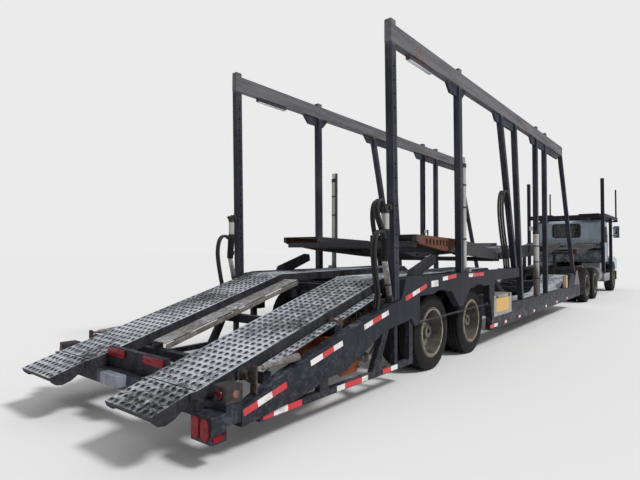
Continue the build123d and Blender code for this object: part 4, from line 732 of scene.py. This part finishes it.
hose_curve.use_fill_caps = True
for places, share, points in hose_runs:
    for y in places:
        spline = hose_curve.splines.new("NURBS")
        spline.points.add(len(points) - 1)
        for point, (x, z) in zip(spline.points, points):
            point.co = (rear_x + x, y, z, 1.0)
            point.radius = share
        spline.order_u = 3
        spline.use_endpoint_u = True
hose_curve.materials.append(hose_rubber)
hoses = bpy.data.objects.new("hose_runs", hose_curve)
bpy.context.scene.collection.objects.link(hoses)
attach(hoses, "trailer")
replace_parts(hoses, "lift_hoses")

# Reflective tape.
# Red and white strips along the side frames and foot rails, and small reflectors, half red and half white,
# further forward, alike on both sides and dulled by road dirt.
tape_width, wide_width, small_width, tape_lift = 0.050, 0.074, 0.045, 0.0008


def add_strip(mesh, sign, face_y, start, end, width):
    """A thin strip on a side face, along a line of (distance forward of the rear axle, height)."""
    (x_low, z_low), (x_high, z_high) = start, end
    length = math.hypot(x_high - x_low, z_high - z_low)
    slope = math.atan2(z_high - z_low, x_high - x_low)
    bmesh.ops.create_cube(
        mesh,
        size=1.0,
        matrix=Matrix.Translation(
            (rear_x + (x_low + x_high) / 2, sign * (face_y + tape_lift / 2), (z_low + z_high) / 2)
        )
        @ Matrix.Rotation(-slope, 4, "Y")
        @ Matrix.Diagonal((length, tape_lift, width, 1.0)),
    )


frame_face, rail_face = 1.295, 1.275
tape_runs = [
    # face, width, colours in turn, and the tapes' ends as (distance forward of the rear axle, height)
    (frame_face, tape_width, "RWR", [(-3.225, 0.335), (-3.089, 0.366), (-2.940, 0.401), (-2.782, 0.438)]),
    (frame_face, tape_width, "WRW", [(-2.493, 0.547), (-2.335, 0.583), (-2.181, 0.618), (-2.048, 0.648)]),
    (frame_face, tape_width, "WRW", [(-1.702, 0.743), (-1.552, 0.778), (-1.385, 0.813), (-1.249, 0.842)]),
    (frame_face, tape_width, "RWR", [(-0.890, 0.950), (-0.730, 0.988), (-0.562, 1.027), (-0.385, 1.068)]),
    (frame_face, wide_width, "W", [(-0.266, 1.078), (-0.076, 1.082)]),
    (frame_face, tape_width, "WR", [(0.054, 1.125), (0.202, 1.133), (0.469, 1.148)]),
    (frame_face, tape_width, "WR", [(0.895, 1.136), (1.041, 1.136), (1.469, 1.136)]),
    (frame_face, tape_width, "RW", [(1.715, 0.327), (1.900, 0.327), (2.060, 0.327)]),
    (rail_face, tape_width, "RWR", [(-3.016, 0.250), (-2.901, 0.250), (-2.746, 0.250), (-2.580, 0.250)]),
    (rail_face, tape_width, "WRW", [(-2.109, 0.250), (-1.988, 0.250), (-1.713, 0.250), (-1.609, 0.250)]),
    (rail_face, tape_width, "RW", [(-1.333, 0.250), (-1.174, 0.250), (-1.040, 0.250)]),
]
small_reflectors = (2.43, 3.18, 4.10, 4.98, 5.90, 6.90)
sill_rear, sill_foot, sill_rise = 1.7, 0.320, 0.06 / 6.7


def tape_finish(name, colour, dirt):
    """Prismatic tape: an even colour with a fine cell pattern and dirt."""
    material, place = new_finish(name)
    grime = (0.6 * place.noise(9.0, 4.0) + 0.4 * place.noise(80.0, 3.0)).step(0.45, 0.7)
    cells = place.stretch(220.0, 1.0, 220.0).node("ShaderNodeTexVoronoi", {}, {"Scale": 1.0})
    coat(material, {
        "Base Color": (dirt * grime).mix(colour, tint(96, 90, 86)),
        "Roughness": 0.3 + 0.35 * grime,
        "Normal": cells.bump(0.08, 0.0005),
    })
    return material


tape_red = tape_finish("tape_red", tint(196, 38, 48), 0.5)
tape_white = tape_finish("tape_white", tint(222, 218, 216), 0.55)
for name, colour, half_start, half_end, material, slot in (
    ("red_tapes", "R", -0.06, -0.01, tape_red, "lens_red"),
    ("white_tapes", "W", -0.01, 0.07, tape_white, "box_paint"),
):
    tape_mesh = bmesh.new()
    for sign in (1, -1):
        for face_y, width, colours, ends in tape_runs:
            for tape, start, end in zip(colours, ends, ends[1:]):
                if tape == colour:
                    add_strip(tape_mesh, sign, face_y, start, end, width)
        for x in small_reflectors:
            z = sill_foot + sill_rise * (x - sill_rear)
            add_strip(tape_mesh, sign, frame_face, (x + half_start, z), (x + half_end, z), small_width)
    make_piece(name, tape_mesh, material, "trailer", smooth=False)


# Tail lamps, marker lamps and the bare sign.
# Ribbed red lenses in black rubber rims, a small lamp box with a round red and an amber lamp at each end of
# the tail member, a bar with two red reflectors above it, and a blank dark sign with a plain plate box.
def add_box(mesh, low, high):
    """A box between two corners."""
    low, high = Vector(low), Vector(high)
    bmesh.ops.create_cube(
        mesh, size=1.0, matrix=Matrix.Translation((low + high) / 2) @ Matrix.Diagonal((*(high - low), 1.0))
    )


def add_side_box(mesh, sign, x_span, y_span, z_span):
    """A box on the left (1) or the right (-1), its distances across given for the left."""
    low_y, high_y = sorted(sign * y for y in y_span)
    add_box(mesh, (x_span[0], low_y, z_span[0]), (x_span[1], high_y, z_span[1]))


def lens_finish(name, colour, deep):
    """Clear moulded plastic with fine upright ribs."""
    material, place = new_finish(name)
    ribs = place.stretch(0.0, 520.0, 0.0).node("ShaderNodeTexWave", {}, {"Scale": 0.16})
    grime = place.noise(24.0, 4.0).step(0.5, 0.75)
    coat(material, {
        "Base Color": (0.5 * grime).mix(ribs.mix(colour, deep), tint(44, 34, 36)),
        "Roughness": 0.25 + 0.4 * grime,
        "Coat Weight": 0.1,
        "Specular IOR Level": 0.2,
        "Normal": ribs.bump(0.3, 0.001),
    })
    return material


red_lens = lens_finish("red_lens", tint(132, 4, 20), tint(64, 2, 10))
amber_lens = lens_finish("amber_lens", tint(134, 96, 84), tint(84, 60, 56))
clear_lens = lens_finish("clear_lens", tint(222, 224, 228), tint(176, 180, 188))
dress(["tail_lamps"], red_lens)
dress(["headlamps"], clear_lens)

marker_red, marker_amber, marker_box = bmesh.new(), bmesh.new(), bmesh.new()
tail_x, marker_z = rear_x - 3.375, 0.484
for sign in (1, -1):
    y, side_y = sign * 1.218, sign * 1.290
    add_side_box(marker_box, sign, (tail_x - 0.004, tail_x + 0.150), (1.150, 1.290), (0.421, 0.545))
    add_rod(marker_red, (tail_x - 0.004, y, marker_z), (tail_x - 0.020, y, marker_z), 0.042, 0.038, 28)
    side_lens = (tail_x + 0.080, side_y + sign * 0.014, marker_z)
    add_rod(marker_amber, (tail_x + 0.080, side_y, marker_z), side_lens, 0.030, 0.026, 24)
    add_side_box(marker_red, sign, (rear_x - 3.490, rear_x - 3.385), (1.290, 1.302), (0.205, 0.245))
make_piece("tail_marker_boxes", marker_box, gland_black, "trailer", bevel=0.006)
make_piece("tail_marker_red", marker_red, red_lens, "trailer", bevel=0.002)
make_piece("tail_marker_amber", marker_amber, amber_lens, "trailer", bevel=0.002)


def add_frame(mesh, outer, inner, thickness):
    """A flat frame between two loops of points, as thick along the vehicle as given."""
    outer, inner = ([mesh.verts.new(point) for point in loop] for loop in (outer, inner))
    faces = []
    for index in range(len(outer)):
        after = (index + 1) % len(outer)
        faces.append(mesh.faces.new((outer[index], outer[after], inner[after], inner[index])))
    shift(mesh, bmesh.ops.extrude_face_region(mesh, geom=faces), (thickness, 0.0, 0.0))


lens_rims = bmesh.new()
lamp_low, lamp_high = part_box("tail_lamps")
lens_middle = (lamp_low.z + lamp_high.z) / 2
rim_x = lamp_high.x - 0.006
lens_end, lens_straight = 0.046, 0.034
oval = []
for step in range(24):
    angle = 2 * math.pi * step / 24
    straight = lens_straight if math.sin(angle) >= 0 else -lens_straight
    oval.append((lens_end * math.cos(angle), lens_end * math.sin(angle) + straight))
for sign in (1, -1):
    for lens_y in (1.128, 1.228):
        outer, inner = (
            [(rim_x, sign * lens_y + y * across, lens_middle + z * up) for y, z in oval]
            for across, up in ((1.0, 1.0), (0.86, 0.93))
        )
        add_frame(lens_rims, outer, inner, 0.0055)
make_piece("tail_lens_rims", lens_rims, gland_black, "trailer")

sign_mesh, plate_mesh, bar_mesh, bar_lamps = bmesh.new(), bmesh.new(), bmesh.new(), bmesh.new()
add_box(sign_mesh, (tail_x - 0.008, -0.440, 0.285), (tail_x - 0.0005, 0.500, 0.415))
add_box(plate_mesh, (tail_x - 0.095, -0.020, 0.330), (tail_x - 0.0085, 0.270, 0.425))
add_box(bar_mesh, at(-3.300, -0.4495, 0.4205), at(-3.245, 0.4495, 0.600))
for low_y in (0.150, -0.440):
    add_box(bar_lamps, at(-3.318, low_y, 0.525), at(-3.3005, low_y + 0.290, 0.595))
sign_coat = worn_paint("sign_coat", (44, 46, 60), (62, 64, 78), (90, 88, 92), 0.66, 0.0, 0.3, 0.45)
plate_coat = worn_paint("plate_coat", (140, 144, 158), (112, 116, 130), (90, 84, 80), 0.66, 0.6, 0.3, 0.45)
make_piece("bare_sign", sign_mesh, sign_coat, "trailer", bevel=0.002)
make_piece("plate_box", plate_mesh, plate_coat, "trailer", bevel=0.004)
make_piece("tail_upper_bar", bar_mesh, frame_coat, "trailer", bevel=0.006)
make_piece("tail_bar_reflectors", bar_lamps, red_lens, "trailer", bevel=0.005)

# Air tank, its guard and the tail brake chambers.
# The tank is rust orange, with a rusted sheet hung under its front end. Behind the rear wheels a pale air
# chamber with its push rod and a slanting pipe hang on flat bars from the runway, one set a side.
rust_coat = worn_paint("rust_coat", (150, 82, 44), (120, 64, 38), (84, 50, 36), 0.6, 0.0, 0.35, 0.75)
dress(["air_tank"], rust_coat)
guard = [
    (-1.735, 0.600), (-1.735, 0.250), (-1.700, 0.228), (-1.420, 0.228), (-1.375, 0.275), (-1.375, 0.445),
    (-1.560, 0.600),
]
guard_rib = [(-1.735, 0.262), (-1.375, 0.262), (-1.375, 0.274), (-1.735, 0.274)]
chamber_y, hanger_in, hanger_half = 1.000, 0.050, 0.020
chamber_lengths = [
    # start and end as (forward of the rear axle, height), radius at the start and at the end
    ((-1.372, 0.368), (-1.352, 0.364), 0.030, 0.046),
    ((-1.352, 0.364), (-1.262, 0.348), 0.046, 0.046),
    ((-1.262, 0.348), (-1.242, 0.344), 0.052, 0.052),
    ((-1.242, 0.344), (-1.165, 0.330), 0.044, 0.038),
    ((-1.165, 0.330), (-0.960, 0.293), 0.022, 0.022),
    ((-1.150, 0.335), (-0.962, 0.478), 0.028, 0.028),
    ((-1.020, 0.434), (-0.996, 0.452), 0.034, 0.034),
]
guard_mesh, chamber_mesh, hanger_mesh = bmesh.new(), bmesh.new(), bmesh.new()
add_outline(guard_mesh, guard, -1.010, -1.002)
add_outline(guard_mesh, guard_rib, -1.018, -0.990)
for sign in (1, -1):
    y, hanger_y = sign * chamber_y, sign * (chamber_y - hanger_in)
    for start, end, start_radius, end_radius in chamber_lengths:
        add_bar(chamber_mesh, y, start, end, start_radius, end_radius, 24)
    for x, foot, top in ((-1.300, 0.340, 0.960), (-0.975, 0.280, 1.040)):
        low_x, high_x = x - hanger_half, x + hanger_half
        hanger = [(low_x, foot), (high_x, foot), (high_x, top), (low_x, top)]
        add_outline(hanger_mesh, hanger, hanger_y, hanger_y + sign * 0.008)
        add_rod(hanger_mesh, at(x, hanger_y, foot + 0.020), at(x, y, foot + 0.020), 0.012, segments=12)
make_piece("tank_guard", guard_mesh, rust_coat, "trailer", bevel=0.001)
make_piece("brake_chambers", chamber_mesh, barrel_coat, "trailer", bevel=0.002)
make_piece("chamber_hangers", hanger_mesh, frame_coat, "trailer", bevel=0.001)

# Tool box.
# A dirty grey steel box with a faded yellow label panel, left blank, two latches and a lid seam.
box_coat = worn_paint("box_coat", (156, 156, 152), (124, 122, 116), (110, 80, 60), 0.6, 0.3, 0.6, 0.5)
dress(["tool_box"], box_coat)
box_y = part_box("tool_box")[0].y
panel_mesh, latch_mesh = bmesh.new(), bmesh.new()
add_box(panel_mesh, at(1.99, box_y - 0.0015, 0.520), at(2.58, box_y - 0.0001, 0.730))
for x in (2.02, 2.60):
    add_box(latch_mesh, at(x - 0.020, box_y - 0.016, 0.742), at(x + 0.020, box_y - 0.0005, 0.776))
    add_bar(latch_mesh, box_y - 0.012, (x - 0.035, 0.768), (x + 0.035, 0.768), 0.006)
add_box(latch_mesh, at(1.885, box_y - 0.004, 0.733), at(2.735, box_y - 0.0005, 0.738))
panel_coat, panel_place = new_finish("panel_coat")
panel_fade = 0.5 * panel_place.noise(9.0, 4.0) + 0.5 * panel_place.stretch(20.0, 20.0, 4.0).noise(1.0, 4.0)
panel_fade = panel_fade.step(0.4, 0.62)
coat(panel_coat, {
    "Base Color": panel_fade.mix(tint(214, 158, 54), tint(196, 170, 116)),
    "Roughness": 0.5 + 0.2 * panel_fade,
    "Normal": panel_fade.bump(0.15, 0.0005),
})
make_piece("tool_box_panel", panel_mesh, panel_coat, "trailer")
make_piece("tool_box_latches", latch_mesh, nut_steel, "trailer", bevel=0.001)

# Struts, ratchet drums and the loading skid.
# A beige tapered strut lies on the tail beam beside its clamp and two ratchet drums, on either side. The
# stowed skid between the runways is a greyish channel of folded steel, open downwards.
skid_coat = worn_paint("skid_coat", (128, 124, 122), (88, 84, 82), (84, 66, 54), 0.60, 0.7, 0.3, 0.6)
strut_mesh, ratchet_mesh, skid_mesh = bmesh.new(), bmesh.new(), bmesh.new()
for sign in (1, -1):
    add_bar(strut_mesh, sign * 1.245, (-3.00, 0.604), (-2.60, 0.612), 0.022, 0.034, 24)
    add_bar(strut_mesh, sign * 1.245, (-3.07, 0.603), (-3.00, 0.604), 0.013, 0.013, 20)
    add_side_box(ratchet_mesh, sign, (rear_x - 3.090, rear_x - 3.070), (1.215, 1.275), (0.420, 0.630))
    for x, z in ((-3.06, 0.545), (-1.95, 0.800)):
        add_rod(ratchet_mesh, at(x, sign * 1.200, z), at(x, sign * 1.090, z), 0.030, segments=20)
        for y in (1.196, 1.096):
            add_rod(ratchet_mesh, at(x, sign * y, z), at(x, sign * (y - 0.008), z), 0.052, segments=14)
(skid_rear, skid_low), (skid_front, skid_high) = (-2.930, 0.545), (-1.080, 1.051)
for low, high, low_y, high_y in (
    # bottom and top above the slope's line, and the span across: the web, then the two flanges
    (0.056, 0.066, 0.105, 0.315),
    (0.0, 0.052, 0.094, 0.106),
    (0.0, 0.052, 0.314, 0.326),
):
    strip = [
        (skid_rear, skid_low + low), (skid_front, skid_high + low), (skid_front, skid_high + high),
        (skid_rear, skid_low + high),
    ]
    add_outline(skid_mesh, strip, low_y, high_y)
skid = make_piece("skid_channel", skid_mesh, skid_coat, "trailer", bevel=0.004)
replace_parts(skid, "loading_skid")
make_piece("tail_struts", strut_mesh, skid_coat, "trailer", bevel=0.003)
make_piece("ratchet_drums", ratchet_mesh, cast_coat, "trailer", bevel=0.002)

# Cab, doors and hood.
# Pale blue-grey moulded panels with road film, painted shade in patches low on the rear wall, a black seal
# round each window, dark seams and two wipers.
cab_coat = worn_paint("cab_coat", (176, 186, 200), (150, 160, 174), (112, 116, 122), 0.66, 0.35, 0.6, 0.34)
cab_nodes = cab_coat.node_tree.nodes
cab_tone = cab_nodes["Principled BSDF"].inputs["Base Color"].links[0].from_socket
cab_place = Wire(cab_coat.node_tree, cab_nodes["Texture Coordinate"].outputs["Object"])
# Painted shade, in patches, darkens the lower rear wall
rear_wall_shade = (1.0 - cab_place.part(0).step(7.06, 7.30)) * (1.0 - cab_place.part(2).step(1.62, 1.92))
patchy_rear_shade = (0.8 * rear_wall_shade) * (0.4 + 0.6 * cab_place.noise(5.0, 5.0).step(0.35, 0.6))
coat(cab_coat, {"Base Color": patchy_rear_shade.mix(Wire(cab_coat.node_tree, cab_tone), tint(58, 60, 68))})
dress(["cab_shell", "door_left", "door_right", "hood"], cab_coat)
trim_coat = worn_paint("trim_coat", (34, 34, 37), (52, 52, 55), (74, 74, 76), 0.66, 0.0, 0.5, 0.6)
dress(["cab_interior", "bumper"], trim_coat)

window_glass, glass_place = new_finish("window_glass")
glass_film = glass_place.noise(5.0, 4.0).step(0.4, 0.75)
coat(window_glass, {
    "Base Color": glass_film.mix(tint(30, 36, 40), tint(70, 76, 80)),
    "Roughness": 0.04 + 0.25 * glass_film,
    "Alpha": 0.72 + 0.2 * glass_film,
    "Coat Weight": 0.8,
    "Normal": glass_film.bump(0.02, 0.0005),
})
dress(["cab_glass", "door_glass_left", "door_glass_right"], window_glass)

cab_x, screen_half, door_face = 7.040, 0.95, 1.080
seal_mesh = bmesh.new()
back_loops = [[], []]
for corner_y, corner_z, start in ((0.36, 2.34, 0), (-0.36, 2.34, 90), (-0.36, 2.05, 180), (0.36, 2.05, 270)):
    for step in range(7):
        angle = math.radians(start + 15 * step)
        across, up = math.cos(angle), math.sin(angle)
        for loop, reach in zip(back_loops, (0.105, 0.060)):
            loop.append((cab_x - 0.012, corner_y + reach * across, corner_z + reach * up))
add_frame(seal_mesh, *back_loops, 0.0115)
screen = [(1.589, 1.780), (1.357, 2.380)]
(low_x, low_z), (high_x, high_z) = screen
for y in (screen_half, -screen_half):
    add_rod(seal_mesh, (cab_x + low_x, y, low_z), (cab_x + high_x, y, high_z), 0.012)
for x, z in screen:
    add_rod(seal_mesh, (cab_x + x, -screen_half, z), (cab_x + x, screen_half, z), 0.012)
make_piece("window_seals", seal_mesh, gland_black, "tractor")
door_window = [(0.430, 1.790), (1.240, 1.790), (1.240, 2.085), (1.180, 2.340), (0.430, 2.340)]
for side, sign in sides:
    y = sign * door_face
    door_seal = bmesh.new()
    for (low_x, low_z), (high_x, high_z) in zip(door_window, door_window[1:] + door_window[:1]):
        add_rod(door_seal, (cab_x + low_x, y, low_z), (cab_x + high_x, y, high_z), 0.010, segments=10)
    make_piece(f"door_seal_{side}", door_seal, gland_black, f"door_{side}")

seam_mesh, wiper_mesh = bmesh.new(), bmesh.new()
for z in (1.500, 1.860):
    add_box(seam_mesh, (cab_x - 0.003, -1.02, z), (cab_x - 0.0003, 1.02, z + 0.006))
for y in (-0.70, 0.0, 0.70):
    add_box(seam_mesh, (cab_x - 0.003, y - 0.003, 1.16), (cab_x - 0.0003, y + 0.003, 1.500))
wiper_rods = [
    # start and end as (forward of the cab's rear, across, height), and radius: the arm, then the blade
    ((1.620, 0.16, 1.745), (1.519, 0.52, 1.990), 0.007),
    ((1.590, 0.24, 1.805), (1.450, 0.78, 2.170), 0.006),
]
for sign in (1, -1):
    for (low_x, low_y, low_z), (high_x, high_y, high_z), radius in wiper_rods:
        foot = (cab_x + low_x, sign * low_y, low_z)
        add_rod(wiper_mesh, foot, (cab_x + high_x, sign * high_y, high_z), radius, segments=10)
make_piece("cab_seams", seam_mesh, gland_black, "tractor")
make_piece("wipers", wiper_mesh, gland_black, "tractor")

# Mirrors, tanks, steps and tractor lamps.
# Mirror glass in black heads, brushed tanks with two steel straps and a cap each, steel treads on the steps
# and red tail lamps at the chassis' end.
mirror_glass, mirror_place = new_finish("mirror_glass")
mirror_film = mirror_place.noise(8.0, 3.0).step(0.4, 0.8)
coat(mirror_glass, {
    "Base Color": mirror_film.mix(tint(188, 196, 206), tint(150, 156, 164)),
    "Metallic": 1.0,
    "Roughness": 0.05 + 0.25 * mirror_film,
    "Normal": mirror_film.bump(0.02, 0.0005),
})
tank_metal, tank_place = new_finish("tank_metal")
tank_lines = tank_place.stretch(2.0, 60.0, 60.0).noise(1.0, 3.0)
tank_belly = 1.0 - tank_place.part(2).step(0.3, 0.95)
tank_dirt = (0.5 * tank_place.noise(6.0, 5.0) + 0.5 * tank_belly).step(0.4, 0.8)
coat(tank_metal, {
    "Base Color": tank_dirt.mix(tint(168, 170, 174), tint(96, 90, 86)),
    "Metallic": 0.8 - 0.7 * tank_dirt,
    "Roughness": 0.3 + 0.25 * tank_lines + 0.3 * tank_dirt,
    "Normal": tank_lines.bump(0.1, 0.001),
})
dress(["fuel_tanks"], tank_metal)

leg_x, steer_x = 8.440, 9.040
tank_y, tank_z, strap_half, strap_inner, strap_outer = 0.880, 0.700, 0.03, 0.2895, 0.295
mirror_mesh, strap_mesh, cap_mesh, tractor_red = bmesh.new(), bmesh.new(), bmesh.new(), bmesh.new()
for sign in (1, -1):
    for z_span in ((1.985, 2.110), (2.130, 2.355)):
        add_side_box(mirror_mesh, sign, (leg_x - 0.024, leg_x - 0.0203), (1.290, 1.430), z_span)
    for x in (steer_x - 2.86, steer_x - 2.54):
        strap = [
            (x + across, sign * tank_y, tank_z + radius)
            for across, radius in (
                (-strap_half, strap_inner), (-strap_half, strap_outer), (strap_half, strap_outer),
                (strap_half, strap_inner),
            )
        ]
        spin_round(strap_mesh, strap, (x, sign * tank_y, tank_z), (1.0, 0.0, 0.0), 48)
    cap_start = Vector((steer_x - 2.70, sign * tank_y, tank_z))
    up_out = Vector((0.0, sign * 0.55, 0.835))
    add_rod(cap_mesh, cap_start + up_out * 0.286, cap_start + up_out * 0.325, 0.052, 0.048, 28)
    for step in range(4):
        x = steer_x - 1.85 + step * 0.30
        add_side_box(cap_mesh, sign, (x, x + 0.24), (1.090, 1.149), (0.7005, 0.706))
    add_side_box(tractor_red, sign, (3.270, 3.2895), (0.880, 1.120), (0.905, 0.935))
    add_side_box(tractor_red, sign, (3.118, 3.1398), (0.975, 1.045), (1.425, 1.495))
merge(strap_mesh)
make_piece("mirror_glasses", mirror_mesh, mirror_glass, "tractor")
make_piece("tank_straps", strap_mesh, nut_steel, "tractor")
make_piece("tank_caps_and_treads", cap_mesh, nut_steel, "tractor", bevel=0.002)
make_piece("tractor_tail_lamps", tractor_red, red_lens, "tractor", bevel=0.003)

# Rail lamps and the girder's front fittings.
# A pale lens under each lamp bar, a worn white gusset at each front post's foot and a beige case beside it.
lens_mesh, gusset_mesh, case_mesh = bmesh.new(), bmesh.new(), bmesh.new()
gusset = [(7.70, 0.640), (8.38, 0.610), (8.12, 0.985), (7.99, 0.985)]
for sign in (1, -1):
    add_side_box(lens_mesh, sign, (rear_x - 0.690, rear_x - 0.120), (1.2035, 1.2515), (3.643, 3.6548))
    add_outline(gusset_mesh, gusset, sign * 1.2955, sign * 1.3015)
    add_side_box(case_mesh, sign, (rear_x + 6.900, rear_x + 7.020), (1.210, 1.290), (0.6005, 0.900))
make_piece("rail_lamp_lenses", lens_mesh, clear_lens, "trailer", bevel=0.004)
make_piece("front_gussets", gusset_mesh, barrel_coat, "trailer")
case_coat = worn_paint("case_coat", (198, 178, 142), (172, 152, 120), (120, 100, 80), 0.66, 0.0, 0.2, 0.5)
make_piece("document_cases", case_mesh, case_coat, "trailer", bevel=0.010)
